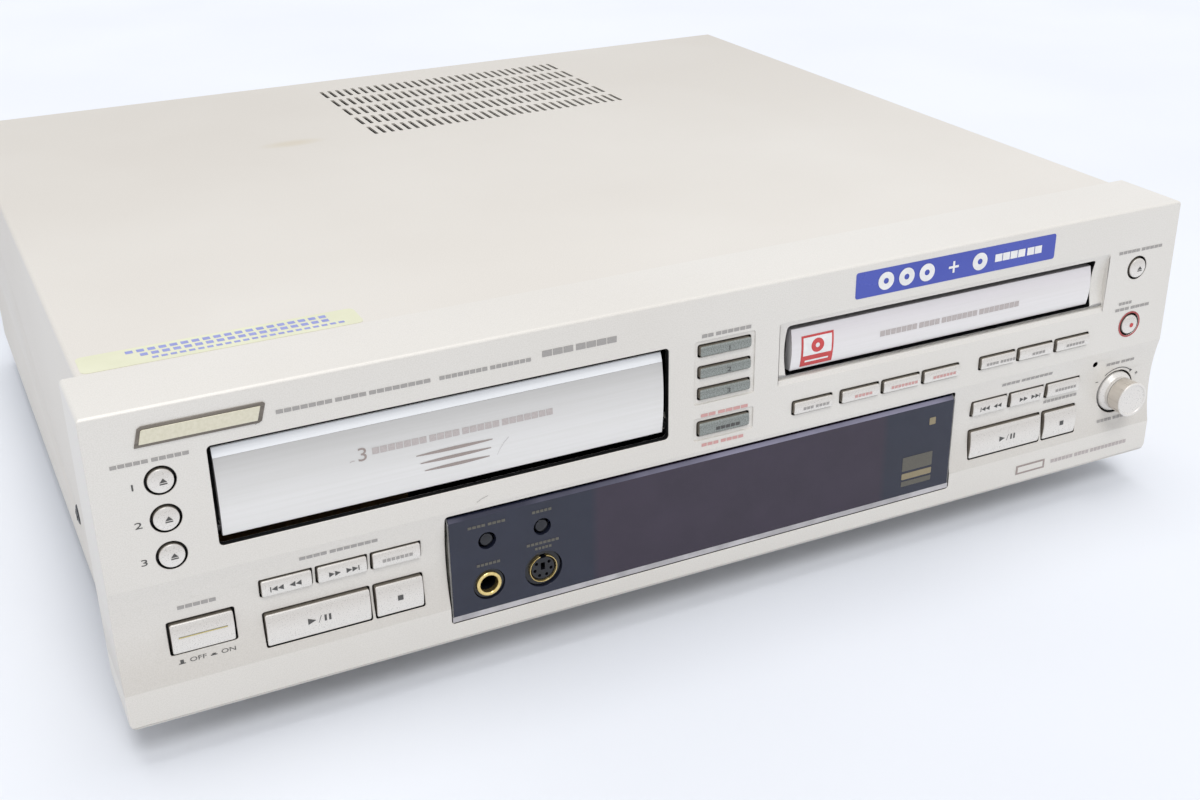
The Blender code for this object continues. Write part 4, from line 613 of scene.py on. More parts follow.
def backLevels(name):
    # Where the flange starts and ends, where the stem ends and half its width, from the CAD piece
    points = placesIn(frame["nodes"][name].data)
    widest = points[points[:, 0] < points[:, 0].min() + 0.01]
    stem = points[points[:, 1] > points[:, 1].max() - 0.01]
    return widest[:, 1].min(), widest[:, 1].max(), points[:, 1].max(), np.ptp(stem[:, 0]) / 2


def keyFace(place):
    # A crown that runs along the key: it stands out most at half height, and less on a low key
    def depth(x, up):
        half = (place["high"] - place["low"]) / 2
        crown = keyCap["crown"] * min(half / keyCap["fullCrown"], 1.0)
        return place["near"] + crown * crowned(up, place["low"], place["high"])
    return depth


def setRise(piece, low, high):
    # Share of the cap's height at each point, which its paint reads
    up = placesIn(piece.data)[:, 2]
    rise = piece.data.attributes.new("rise", "FLOAT", "POINT")
    rise.data.foreach_set("value", np.clip((up - low) / (high - low), 0.0, 1.0))


def buildKey(name):
    place = capPlace(name)
    surface = keyFace(place)
    flangeNear, flangeFar, stemEnd, stemHalf = backLevels(name)
    halfX = (place["right"] - place["left"]) / 2
    halfUp = (place["high"] - place["low"]) / 2
    corner, edge = keyCap["corner"], keyCap["edge"]

    def flatRing(across, tall, radius, behind):
        ring = roundedRing(*around(place["x"], place["up"], across, tall), radius, 6, 9)
        return np.insert(ring, 1, behind, 1)

    def crownedRing(across, tall, radius, behind=0.0):
        ring = flatRing(across, tall, radius, behind)
        ring[:, 1] += surface(0, ring[:, 2])
        return ring

    face = [crownedRing((halfX - edge) * share, (halfUp - edge) * share, corner * share / 2)
            for share in keyCap["shares"]]
    face += [crownedRing(halfX + grow, halfUp + grow, max(corner + grow, 0.05), behind)
             for behind, grow in quarterRound(0.0, -edge, edge, edge, keyCap["edgeSteps"])]
    foot = flatRing(halfX, halfUp, corner, flangeNear)
    rim = roundedRing(*edgesOf(cadBox(name)), corner, 6, 9)
    back = [foot] + [np.insert(rim, 1, behind, 1) for behind in (flangeNear, flangeFar)]
    back += [flatRing(stemHalf, stemHalf, keyCap["stemCorner"], behind) for behind in (flangeFar, stemEnd)]
    shape = addLoft(newShape(), face, True, False)
    addLoft(shape, [face[-1], foot], False, False, 1)
    # The flange and stem behind the cap are black, which darkens the gap round it as painted shade
    addLoft(shape, back, False, True, 2)
    finish, slotName = (greenPaint, "grey_green_key") if name in greenKeys else (keyPaint, "satin_key")
    piece = looseObject("cap_" + name, shape, [finish, keySideShade, blackPlastic])
    setRise(piece, place["low"], place["high"])
    finishPiece(piece, name, name)


for name in keyNames:
    buildKey(name)


# Round buttons: slightly domed caps with a rounded edge

roundCap = {"edge": 0.5, "shares": (0.06, 0.25, 0.45, 0.62, 0.76, 0.88, 0.96)}
ejectCap = {"crown": 0.35, "inset": 0.35, "finish": keyPaint, "wall": keySideShade, "slot": "satin_key"}
windowCap = {"crown": 0.7, "inset": 0.2, "finish": softBlack, "wall": blackPlastic, "slot": "black_plastic"}


def domeFace(place, crown):
    # A dome that falls away with the square of the distance from its middle
    def depth(x, up):
        distance = np.hypot(x - place["x"], up - place["up"]) / place["radius"]
        return place["near"] + crown * np.minimum(distance ** 2, 1.0)
    return depth


def buildRoundButton(name, cap):
    place = roundPlace(name)
    surface = domeFace(place, cap["crown"])
    flangeNear, flangeFar, stemEnd, stemHalf = backLevels(name)
    radius = place["radius"] - cap["inset"]
    edge = roundCap["edge"]
    distances = (radius - edge) * np.array((*roundCap["shares"], 1.0))
    dome = np.stack([surface(place["x"] + distances, place["up"]), distances], 1).tolist()
    face = dome[:-1] + quarterRound(*dome[-1], edge, edge, 6)
    wide = place["radius"] + flange["low"]
    back = [(flangeNear, radius), (flangeNear, wide), (flangeFar, wide)]
    back += [(flangeFar, stemHalf), (stemEnd, stemHalf)]
    # The flange and stem behind the cap are black, which darkens the gap round it as painted shade
    tags = [0] * (len(face) - 1) + [1] + [2] * (len(back) - 1)
    shape = addTurned(newShape(), face + back, place["centre"], "y", 72, tags)
    piece = looseObject("cap_" + name, shape, [cap["finish"], cap["wall"], blackPlastic])
    setRise(piece, place["up"] - radius, place["up"] + radius)
    finishPiece(piece, name, name)


for name in roundNames:
    buildRoundButton(name, ejectCap)
for name in windowButtons:
    buildRoundButton(name, windowCap)
print("keys ready")


# Level knob: a plain front face inside a bright rim, on the ring that fills the panel's hole

knob = {"body": 7.3, "waist": 7.0, "ring": 8.6, "hub": 5.0, "hubLength": 3.2, "play": 0.25, "shaft": 3.0}


def buildKnob():
    box = cadBox("level_knob")
    reach, split = box["near"], box["far"]
    body, waist, hub, wide = knob["body"], knob["waist"], knob["hub"], knob["ring"]
    front = [(reach + 0.5, 0.4), (reach + 0.5, body * 0.8), (reach + 0.42, body * 0.84)]
    front += [(reach + 0.1, body * 0.87), (reach, body * 0.9)]
    front += quarterRound(reach + 0.03, body * 0.93, 0.45, body * 0.07, 6)
    bore = hub + knob["play"]
    side = [(split - 0.15, waist), (split, waist - 0.15), (split, bore), (split - knob["hubLength"], bore)]
    tags = [0] * (len(front) - 1) + [1] + [0] * (len(side) - 1)
    shape = addTurned(newShape(), front + side, box["centre"], "y", 96, tags)
    makePiece("knob_cap", shape, [knobMetal, knobSide], "level_knob", "level_knob", 28.0)

    shaft = cadBox("knob_shaft")
    near = shaft["near"]
    surface = scoopFace(0, box["up"])
    ring = [
        (near, 0.5), (near, hub - 0.2), (near + 0.2, hub), (split + 0.3, hub), (split + 0.3, waist),
        (surface - 1.9, waist), (surface - 1.75, waist + 0.15), (surface - 1.2, wide - 0.9),
        (surface - 0.85, wide - 0.45), (surface - 0.5, wide - 0.15), (surface, wide), (surface + 1.4, wide),
        (surface + 1.4, knob["shaft"]), (shaft["far"], knob["shaft"]),
    ]
    base = addTurned(newShape(), ring, box["centre"], "y", 96)
    makePiece("knob_ring", base, [knobMetal], "knob_shaft", "knob_shaft", 28.0)


buildKnob()


# Display window: a dark core with clear polished edges, bevelled along its top

window = {"left": -101.1, "right": 106.8, "low": 7.6, "high": 47.5, "front": 0.2, "bevel": 1.6, "clear": 2.1,
          "back": 8.4, "side": 0.45, "gap": 0.05, "buttonHole": 3.2, "jackHole": 5.8, "socketHole": 7.0}
jack = {"ring": 4.6, "bore": 3.2, "recess": 5.5, "depth": 15.2, "barrel": 6.2, "shoulder": 8.8}
socket = {"recess": 6.7, "ring": 5.2, "ringWall": 0.36, "gapAngle": 13.0, "insert": 4.4,
          "pins": 6, "pin": 0.6, "circle": 3.1, "pinStep": 52.0}


def buildWindow():
    left, right, low, high = edgesOf(window)
    front, bevel, back, side = window["front"], window["bevel"], window["back"], window["side"]
    low += window["clear"]
    profile = [(front, low), (front, high - bevel), (front + bevel * 0.75, high - bevel * 0.12),
               (front + bevel, high), (back, high), (back, low)]
    core = addPrism(newShape(), profile, "x", left + side, right - side)
    core["tags"][1] = 1
    dark = looseObject("window_core", core, [smoked, bevelGlints])
    cuts = newShape()
    for name, radius, segments in (
        (windowButtons[0], window["buttonHole"], 64), (windowButtons[1], window["buttonHole"], 64),
        ("phone_jack", window["jackHole"], 80), ("keyboard_socket", window["socketHole"], 80),
    ):
        addTurned(cuts, [(-2.0, radius), (12.0, radius)], cadBox(name)["centre"], segments=segments)
    carve(dark, cuts)
    finishPiece(dark, chassis, "display_window", 25.0, 0.14)

    gap = window["gap"]
    rims = addBox(newShape(), (left, front, window["low"]), (right, back, low - gap))
    profile = [(front, low), (front, high - bevel), (front + bevel, high), (back, high), (back, low)]
    for start, end in ((left, left + side - gap), (right - side + gap, right)):
        addPrism(rims, profile, "x", start, end, 1)
    makePiece("window_clear_edges", rims, [clearEdge, windowSideShade], chassis, None, 30.0, 0.06)


def buildJack():
    centre = cadBox("phone_jack")["centre"]
    ring, bore, depth = jack["ring"], jack["bore"], jack["depth"]
    barrel, recess, shoulder = jack["barrel"], jack["recess"], jack["shoulder"]
    # The ring's front is a low half round: its depth follows the sine, its radius the cosine
    angles = np.linspace(0, math.pi, 9)
    lip = np.stack([0.55 - 0.62 * np.sin(angles), (ring + bore) / 2 - (ring - bore) / 2 * np.cos(angles)], 1)
    profile = [(2.4, bore), (0.6, bore)] + lip.tolist() + [(1.1, ring), (2.4, ring)]
    shape = addTurned(newShape(), profile, centre, "y", 80, closed=True)
    makePiece("jack_ring", shape, [gold], chassis, "phone_jack")
    profile = [(1.0, recess), (1.0, ring + 0.05), (2.6, ring + 0.05), (2.6, bore + 0.05)]
    profile += [(depth, bore + 0.05), (depth, barrel), (shoulder, barrel), (shoulder, recess)]
    body = addTurned(newShape(), profile, centre, "y", 64, closed=True)
    addTurned(body, [(depth - 0.4, bore), (depth + 0.4, bore)], centre, "y", 64)
    makePiece("jack_body", body, [softBlack], chassis)


def buildSocket():
    box = cadBox("keyboard_socket")
    x, up = box["x"], box["up"]
    insert, outer, recess = socket["insert"], socket["ring"], socket["recess"]
    profile = [(1.0, 0.4), (1.0, insert - 0.15), (1.15, insert), (7.2, insert), (7.2, outer - 0.5),
               (1.3, outer - 0.5), (1.3, recess), (box["far"], recess)]
    shape = addTurned(newShape(), profile, box["centre"], "y", 80)
    core = looseObject("keyboard_socket_body", shape, [softBlack])
    cuts = newShape()
    for index in range(socket["pins"]):
        angle = math.radians(-90 + socket["pinStep"] * (index - (socket["pins"] - 1) / 2))
        place = (x + socket["circle"] * math.cos(angle), 0, up + socket["circle"] * math.sin(angle))
        addTurned(cuts, [(0.2, socket["pin"]), (6.0, socket["pin"])], place, "y", 20)
    addPrism(cuts, roundedRing(x - 0.8, x + 0.8, up - 0.7, up + 2.1, 0.2, 3), "y", 0.2, 6.2)
    addPrism(cuts, roundedRing(x - 1.1, x + 1.1, up + 3.9, up + 5.4, 0.2, 3), "y", 0.2, 4.2)
    carve(core, cuts)
    finishPiece(core, chassis, "keyboard_socket")
    # The gold ring is an open band: its section is carried along an arc that leaves a gap at the top
    inner = outer - socket["ringWall"]
    section = np.array([(0.45, inner), (0.3, inner + 0.08), (0.25, (inner + outer) / 2), (0.3, outer - 0.08),
                        (0.45, outer), (6.0, outer), (6.0, inner)])
    angles = np.radians(np.linspace(90 + socket["gapAngle"], 450 - socket["gapAngle"], 90))[:, None]
    rings = np.stack(np.broadcast_arrays(
        x + section[:, 1] * np.cos(angles), section[:, 0], up + section[:, 1] * np.sin(angles)), 2)
    makePiece("keyboard_socket_ring", addLoft(newShape(), rings), [gold], chassis)


buildWindow()
buildJack()
buildSocket()
print("window and sockets ready")


# Doors

changerDoor = {"left": -173.2, "right": -19.8, "low": 60.5, "high": 90.7,
               "near": 0.8, "back": 3.7, "crown": 1.1, "strip": 3.4, "slope": 1.3,
               "ear": 3.0, "earLow": 61.1, "earHigh": 64.1, "earBack": 6.0}
recorderDoor = {"left": 32.0, "right": 169.2, "low": 72.5, "high": 88.9,
                "near": 1.2, "back": 5.6, "crown": 1.2}


def doorFace(door):
    # The crown of a door below its bright strip: it stands out most at half height
    def depth(x, up):
        return door["near"] + door["crown"] * crowned(up, door["low"], door["high"] - door.get("strip", 0.0))
    return depth


changerFace = doorFace(changerDoor)
recorderFace = doorFace(recorderDoor)


def buildChangerDoor():
    left, right, low, high = edgesOf(changerDoor)
    back, slope = changerDoor["back"], changerDoor["slope"]
    stripLow = high - changerDoor["strip"]
    heights = np.linspace(low + 0.25, stripLow, 26)
    profile = [(changerFace(0, low) + 0.25, low)] + np.stack([changerFace(0, heights), heights], 1).tolist()
    face = addPrism(newShape(), profile + [(back, stripLow), (back, low)], "x", left, right)
    for edge, side in ((left, -1), (right, 1)):
        inner = edge - side * changerDoor["ear"]
        addBox(face, (min(edge, inner), back - 0.3, changerDoor["earLow"]),
               (max(edge, inner), changerDoor["earBack"], changerDoor["earHigh"]), 1)
        centre = (min(edge - side * 1.5, edge + side * 4.1), hinge["behind"], hinge["up"])
        addTurned(face, [(0.0, hinge["pin"]), (5.6, hinge["pin"])], centre, "x", 40, (1,))
    makePiece("changer_door_panel", face, [changerMetal, blackPlastic], "changer_door",
              "changer_door", 25.0, 0.12)
    top = changerFace(0, stripLow)
    profile = [(top, stripLow + 0.06), (top + slope - 0.25, high - 0.25), (top + slope, high), (back, high),
               (back, stripLow + 0.06)]
    strip = addPrism(newShape(), profile, "x", left, right)
    makePiece("changer_door_strip", strip, [stripMetal], "changer_door", None, 25.0, 0.1)


def buildRecorderDoor():
    left, right, low, high = edgesOf(recorderDoor)
    back = recorderDoor["back"]
    heights = np.linspace(low + 0.2, high - 0.2, 25)
    profile = np.stack([recorderFace(0, heights), heights], 1).tolist() + [(back, high), (back, low)]
    face = addPrism(newShape(), profile, "x", left, right)
    makePiece("recorder_door_panel", face, [recorderMetal], "recorder_tray",
              "recorder_door", 25.0, 0.15)


buildChangerDoor()
buildRecorderDoor()


# Disc trays: wells for both disc sizes, a slot for the spindle and rounded front corners

tray = {"rim": 5.5, "corner": 6.0, "well": 61.0, "wellDepth": 2.4,
        "small": 41.0, "smallDepth": 1.0, "slot": 18.0}


def buildTray(name, body):
    box = cadBox(name)
    near, far, low, high = box["near"], box["far"], box["low"], box["high"]
    corner, well, small, width = tray["corner"], tray["well"], tray["small"], tray["slot"]
    plan = arcPoints((box["left"] + corner, near + corner), corner, 180, 270, 10)
    plan += arcPoints((box["right"] - corner, near + corner), corner, 270, 360, 10)
    plan += [(box["right"], far), (box["left"], far)]
    piece = looseObject("plate_" + name, addPrism(newShape(), plan, "z", low, high), [trayPlastic])
    x, middle = box["x"], near + tray["rim"] + well
    floor = high - tray["wellDepth"]
    profile = [(floor - tray["smallDepth"], 1.0), (floor - tray["smallDepth"], small - 0.4), (floor, small),
               (floor, well - 0.5), (floor + 0.6, well), (high + 1.0, well)]
    carve(piece, addTurned(newShape(), profile, (x, middle, 0), "z", 128))
    far = middle + well - width
    plan = arcPoints((x, middle), width, 180, 360, 24) + [(x + width, far), (x - width, far)]
    carve(piece, addPrism(newShape(), plan, "z", low - 2.0, high + 2.0))
    finishPiece(piece, body, name, 28.0, 0.2)


for name in ("changer_tray_1", "changer_tray_2", "changer_tray_3", "recorder_tray"):
    buildTray(name, name if name in frame["bodies"] else chassis)
print("doors and trays ready")


# Top cover: folded sheet with round-ended slots and dimples for its side screws

cover = {"bend": 1.4, "slotWidth": 1.8, "slotLength": 14.0, "columns": 32, "rows": 5, "pitch": 4.08,
         "rowPitch": 18.9, "middle": 27.5, "lastRow": 333.1}
sideScrew = {"places": ((114.0, 20.0), (330.0, 50.0)), "radius": 3.9, "cross": 2.2,
             "dimple": 7.6, "floor": 4.4, "deep": 0.6}


def buildCover():
    box = cadBox("top_cover")
    left, right, low, high = edgesOf(box)
    bend = cover["bend"]
    inner = bend - coverSheet
    outline = [(left, low)] + arcPoints((left + bend, high - bend), bend, 180, 90, 8)
    outline += arcPoints((right - bend, high - bend), bend, 90, 0, 8)
    outline += [(right, low), (right - coverSheet, low)]
    outline += arcPoints((right - bend, high - bend), inner, 0, 90, 5)
    outline += arcPoints((left + bend, high - bend), inner, 90, 180, 5) + [(left + coverSheet, low)]
    shape = addPrism(newShape(), outline, "y", box["near"], box["far"])
    piece = looseObject("cover_sheet", shape, [coverPaint])
    slots = newShape()
    first = cover["middle"] - cover["pitch"] * (cover["columns"] - 1) / 2
    radius = cover["slotWidth"] / 2
    half = cover["slotLength"] / 2 - radius
    for row in range(cover["rows"]):
        middle = cover["lastRow"] - (cover["rows"] - 1 - row) * cover["rowPitch"]
        for column in range(cover["columns"]):
            x = first + column * cover["pitch"]
            ends = arcPoints((x, middle - half), radius, 180, 360, 6)
            ends += arcPoints((x, middle + half), radius, 0, 180, 6)
            addPrism(slots, ends, "z", high - 3.0, high + 3.0)
    carve(piece, slots)
    dimples = newShape()
    for direction in (-1, 1):
        for behind, up in sideScrew["places"]:
            profile = [(0.5, sideScrew["dimple"]), (-sideScrew["deep"], sideScrew["floor"])]
            profile = np.array(profile) * (direction, 1)
            addTurned(dimples, profile, (direction * right, behind, up), "x", 48)
    carve(piece, dimples)
    finishPiece(piece, chassis, "top_cover", 25.0)


buildCover()
print("cover ready")


# Feet: tapered bodies with a rubber ring

def buildFoot(name):
    box = cadBox(name)
    low, high = box["low"], box["high"]
    radius = (box["right"] - box["left"]) / 2
    profile = [(low + 1.0, 1.0), (low + 1.0, 12.8), (low + 0.3, 13.2), (low, 13.8), (low, 15.8)]
    profile += [(low + 0.4, 16.4), (low + 1.4, 16.6), (low + 1.6, 17.0), (low + 2.2, 17.2)]
    profile += [(high - 1.2, radius - 0.1), (high - 0.6, radius), (high, radius)]
    shape = addTurned(newShape(), profile, (box["x"], (box["near"] + box["far"]) / 2, 0), "z", 72)
    makePiece("round_" + name, shape, [rubber], chassis, name)


for name in ("foot_front_left", "foot_front_right", "foot_rear_left", "foot_rear_right"):
    buildFoot(name)


# Rear: phono sockets, optical ports and the mains inlet on their plates

rear = {"face": 360.8, "tip": 371.0, "barrel": 4.15, "bore": 2.6, "insulator": 2.5, "hole": 1.8,
        "pitch": 19.0, "inset": 2.0, "plateNear": 361.1, "plateFar": 362.6, "port": 5.0, "shutter": 3.6}
inlet = {"spread": 4.1, "radius": 4.1, "deep": 11.5, "pin": 1.2, "pinSpread": 4.3}


def buildBarrel(name, number, x, up, insulatorFinish):
    start, tip = rear["face"] + 0.9, rear["tip"]
    barrel, bore = rear["barrel"], rear["bore"]
    profile = [(start, bore), (start, barrel + 1.1), (start + 2.2, barrel + 1.1), (start + 2.4, barrel),
               (tip - 0.4, barrel), (tip, barrel - 0.4), (tip, barrel - 0.7), (tip - 1.2, barrel - 0.9),
               (tip - 1.2, bore)]
    metal = addTurned(newShape(), profile, (x, 0, up), "y", 48, closed=True)
    makePiece(name + "_barrel_" + number, metal, [nickel], chassis)
    wide, hole = rear["insulator"], rear["hole"]
    profile = [(start, wide), (tip - 1.4, wide), (tip - 1.4, hole), (start + 0.3, hole)]
    insulator = addTurned(newShape(), profile, (x, 0, up), "y", 40)
    makePiece(name + "_insulator_" + number, insulator, [insulatorFinish], chassis)


def rearBlock(name, pieceName, corner, steps):
    # The socket's body inside the rear panel and its flange on the outside
    box = cadBox(name)
    left, right, low, high = edgesOf(box)
    inset = rear["inset"]
    shape = newShape()
    addBox(shape, (left + inset, box["near"], low + inset), (right - inset, rear["face"], high - inset))
    ring = roundedRing(left, right, low, high, corner, steps)
    addPrism(shape, ring, "y", rear["plateNear"], rear["plateFar"])
    return looseObject(pieceName, shape, [blackPlastic])


def buildSockets(name, barrels, ports):
    # Places are counted in pitches from the middle of the flange
    box = cadBox(name)
    face = rear["face"]
    piece = rearBlock(name, "block_" + name, 0.8, 5)
    cuts = newShape()
    ports = [box["x"] + across * rear["pitch"] for across in ports]
    for x in ports:
        ring = roundedRing(*around(x, box["up"], rear["port"], rear["port"]), 1.0, 4)
        addPrism(cuts, ring, "y", face + 0.9, face + 4.9)
    if ports:
        carve(piece, cuts)
    finishPiece(piece, chassis, name, 30.0, 0.15)
    for index, (across, tall, finish) in enumerate(barrels):
        x, up = box["x"] + across * rear["pitch"], box["up"] + tall * rear["pitch"]
        buildBarrel(name, str(index + 1), x, up, finish)
    for index, x in enumerate(ports):
        ring = roundedRing(*around(x, box["up"], rear["shutter"], rear["shutter"]), 0.5, 4)
        shutter = addPrism(newShape(), ring, "y", face + 1.0, face + 1.5)
        pieceName = name + "_shutter_" + str(index + 1)
        makePiece(pieceName, shutter, [softBlack], chassis, edge=0.12)


def buildInlet():
    box = cadBox("mains_inlet")
    x, up = box["x"], box["up"]
    spread, radius = inlet["spread"], inlet["radius"]
    piece = rearBlock("mains_inlet", "inlet_body", 1.5, 6)
    floor = rear["face"] - inlet["deep"]
    lobes = arcPoints((x - spread, up), radius, 60, 300, 20)
    lobes += arcPoints((x + spread, up), radius, -120, 120, 20)
    carve(piece, addPrism(newShape(), lobes, "y", floor, floor + 16.0))
    finishPiece(piece, chassis, "mains_inlet", 28.0, 0.15)
    pins = newShape()
    for side in (-1, 1):
        profile = [(floor - 0.1, inlet["pin"]), (rear["face"] - 0.6, inlet["pin"]), (rear["face"] - 0.1, 0.7)]
        addTurned(pins, profile, (x + side * inlet["pinSpread"], 0, up), "y", 24)
    makePiece("inlet_pins", pins, [nickel], chassis)


buildSockets("audio_sockets", [(-0.5, 0.5, redRing), (0.5, 0.5, redRing), (-0.5, -0.5, whiteRing),
                               (0.5, -0.5, whiteRing)], [])
buildSockets("digital_sockets", [(-1.0, 0.0, blackPlastic)], [0.15, 1.05])
buildInlet()


# Screws: low domed heads, each with a dark cross of black blocks as painted shade for its cross recess

rearScrew = {"radius": 3.4, "cross": 1.8, "below": 6.0, "acrossTop": (-190.0, 190.0, 0.0, 110.0, -60.0),
             "places": ((-120.0, 16.0), (60.0, 16.0), (192.0, 16.0), (-190.0, 40.0))}


def addScrew(shape, spot, axis, direction, radius):
    # The head's height grows with the sine of the angle and its radius shrinks with the cosine
    angles = np.linspace(0, math.pi / 2, 6)
    height = 0.44 + 0.66 * np.sin(angles)
    dome = np.stack([direction * height, radius * np.cos(angles) * 0.98 + 0.02], 1)
    addTurned(shape, [(0.0, radius)] + dome.tolist(), spot, axis, 36)


def buildScrews():
    heads, crosses = newShape(), newShape()
    box = cadBox("top_cover")
    face, arm = rear["face"], rearScrew["cross"]
    places = [(x, box["high"] - rearScrew["below"]) for x in rearScrew["acrossTop"]] + [*rearScrew["places"]]
    for x, up in places:
        addScrew(heads, (x, face + 0.02, up), "y", 1, rearScrew["radius"])
        for across, tall in ((arm, 0.35), (0.35, arm)):
            addBox(crosses, (x - across, face + 0.7, up - tall), (x + across, face + 1.15, up + tall))
    makePiece("rear_screws", heads, [screwMetal], chassis)
    makePiece("rear_screw_recesses", crosses, [blackPlastic], chassis)
    heads, crosses = newShape(), newShape()
    side, arm = box["right"], sideScrew["cross"]
    for direction in (-1, 1):
        near, far = sorted((direction * (side + 0.1), direction * (side + 0.58)))
        for behind, up in sideScrew["places"]:
            addScrew(heads, (direction * (side - 0.55), behind, up), "x", direction, sideScrew["radius"])
            for deep, tall in ((arm, 0.4), (0.4, arm)):
                addBox(crosses, (near, behind - deep, up - tall), (far, behind + deep, up + tall))
    makePiece("side_screws", heads, [screwMetal], chassis)
    makePiece("side_screw_recesses", crosses, [blackPlastic], chassis)


buildScrews()
print("rear and screws ready")


# CAD nodes that stay get their real finishes

keptFinishes = {
    "chassis_pan": zinc, "rear_panel": zinc, "left_key_board": tanBoard, "right_key_board": tanBoard,
    "display_module": displayBoard, "main_board": greenBoard, "transformer": copper,
    "changer_frame": drivePlastic, "recorder_frame": drivePlastic,
    "changer_mechanism": drivePlastic, "recorder_mechanism": drivePlastic,
}
for name, finish in keptFinishes.items():
    for slot in frame["nodes"][name].material_slots:
        slot.material = finish


# Prints: thin flat shapes just above what carries them, gathered by body and finish

prints = {}
lift = 0.1


def addPrint(body, finish, outline, surface):
    # One outline of (across, up) points; the surface is a depth, or a function of across and up
    shape = prints.setdefault((body, finish.name), newShape())
    flat = np.array(outline, float)
    depth = surface(*flat.T) if callable(surface) else surface
    start = len(shape["points"])
    shape["points"] += np.insert(flat, 1, depth - lift, 1).tolist()
    shape["faces"].append(range(start, start + len(flat)))


def addBar(body, finish, left, right, low, high, surface, corner=0.0):
    ring = [(left, low), (right, low), (right, high), (left, high)]
    addPrint(body, finish, roundedRing(left, right, low, high, corner, 4) if corner else ring, surface)


def addWords(body, finish, left, right, up, height, surface, letters):
    # Small soft blocks where a line of words was: one block for each letter, a wider gap between words
    wordGap, blockGap = 1.0, 0.32
    count = sum(letters)
    width = (right - left - wordGap * (len(letters) - 1) - blockGap * (count - len(letters))) / count
    x = left
    for letterCount in letters:
        for index in range(letterCount):
            addBar(body, finish, x, x + width, up - height / 2, up + height / 2, surface)
            x += width + blockGap
        x += wordGap - blockGap


def addRingPrint(body, finish, centre, inner, outer, surface, start=0.0, end=360.0, steps=48):
    near = arcPoints(centre, inner, start, end, steps)
    far = arcPoints(centre, outer, start, end, steps)
    for index in range(steps):
        addPrint(body, finish, [near[index], far[index], far[index + 1], near[index + 1]], surface)


def addText(body, text, centre, height, surface, widen, finish=darkPrint):
    # Plain numerals and switch words from Blender's own font, made a mesh and laid on the surface
    curve = bpy.data.curves.new("numeral", "FONT")
    curve.body = text
    curve.align_x = "CENTER"
    curve.resolution_u = 3
    holder = bpy.data.objects.new("numeral", curve)
    mesh = bpy.data.meshes.new_from_object(holder)
    points = np.array([vertex.co[:2] for vertex in mesh.vertices])
    scale = height / 0.68
    points = (points - (0, points[:, 1].min())) * (scale * widen, scale) + centre - (0, height / 2)
    for polygon in mesh.polygons:
        addPrint(body, finish, points[list(polygon.vertices)], surface)
    bpy.data.objects.remove(holder, do_unlink=True)
    bpy.data.meshes.remove(mesh)


def addTriangle(body, x, up, width, height, surface, turn=1):
    base = x - turn * width / 2
    outline = [(base, up - height / 2), (base, up + height / 2), (x + turn * width / 2, up)]
    addPrint(body, darkPrint, outline, surface)


def addEject(name, x, up):
    surface = domeFace(roundPlace(name), ejectCap["crown"])
    addPrint(name, darkPrint, [(x - 1.15, up - 0.35), (x + 1.15, up - 0.35), (x, up + 1.05)], surface)
    addBar(name, darkPrint, x - 1.15, x + 1.15, up - 1.05, up - 0.65, surface)


def printTransport(side, shift):
    def spot(use):
        name = side + "_" + use + "_key"
        box = cadBox(name)
        return name, box["x"] + shift, box["up"], keyFace(capPlace(name))

    for use, turn in (("back", -1), ("forward", 1)):
        name, x, up, surface = spot(use)
        up -= 0.3
        for step in (-3.7, -1.7, 2.1, 4.1) if turn == 1 else (-4.1, -2.1, 1.7, 3.7):
            addTriangle(name, x + step, up, 1.9, 1.9, surface, turn)
        addBar(name, darkPrint, *around(x + turn * 5.35, up, 0.17, 0.95), surface)
    name, x, up, surface = spot("play")
    addTriangle(name, x - 2.6, up, 2.7, 2.3, surface)
    slash = [(x - 0.5, up - 1.3), (x - 0.3, up - 1.3), (x + 0.65, up + 1.3), (x + 0.45, up + 1.3)]
    addPrint(name, darkPrint, slash, surface)
    for step in (1.9, 3.4):
        addBar(name, darkPrint, *around(x + step, up, 0.38, 1.15), surface)
    name, x, up, surface = spot("stop")
    addBar(name, darkPrint, *around(x, up, 0.95, 0.95), surface)
    name, x, up, surface = spot("display")
    addWords(name, greyPrint, x - 5.0, x + 5.4, up - 0.3, 1.15, surface, (7,))


printTransport("changer", 0.0)
printTransport("recorder", 0.6)
for name, finish, letters in (
    ("record_mode_key", greyPrint, (3, 4)), ("erase_key", redPrint, (5,)), ("finalize_key", redPrint, (8,)),
    ("synchro_key", redPrint, (7,)), ("auto_space_key", greyPrint, (4, 5)), ("name_key", greyPrint, (4,)),
    ("menu_key", greyPrint, (6,)),
):
    box = cadBox(name)
    half = sum(letters) * 0.7 + len(letters) * 0.3
    x = box["x"] + 0.9
    addWords(name, finish, x - half, x + half, box["up"] - 0.4, 1.1, keyFace(capPlace(name)), letters)
face = 0.0
for number in (1, 2, 3):
    name = "disc_%d_key" % number
    box = cadBox(name)
    addText(name, str(number), (box["x"] + 1.2, box["up"] - 0.2), 1.7, keyFace(capPlace(name)), 1.6)
    name = "eject_%d_button" % number
    box = cadBox(name)
    addEject(name, box["x"] + 0.6, box["up"] - 0.1)
    addText(chassis, str(number), (-197.6, box["up"] - 0.4), 2.1, face, 1.7)
name = "copy_start_key"
box = cadBox(name)
addWords(name, darkPrint, box["x"] - 3.6, box["x"] + 6.0, box["up"] - 0.5, 1.2, keyFace(capPlace(name)), (5,))
box = cadBox("recorder_eject_button")
addEject("recorder_eject_button", box["x"] + 0.7, box["up"] - 0.3)
place = roundPlace("record_button")
dot = arcPoints((place["x"] + 0.6, place["up"] - 0.3), 0.95, 0, 345, 23)
addPrint("record_button", redLabel, dot, domeFace(place, ejectCap["crown"]))
addRingPrint(chassis, redGlow, (place["x"], place["up"]), 4.8, 5.5, face)
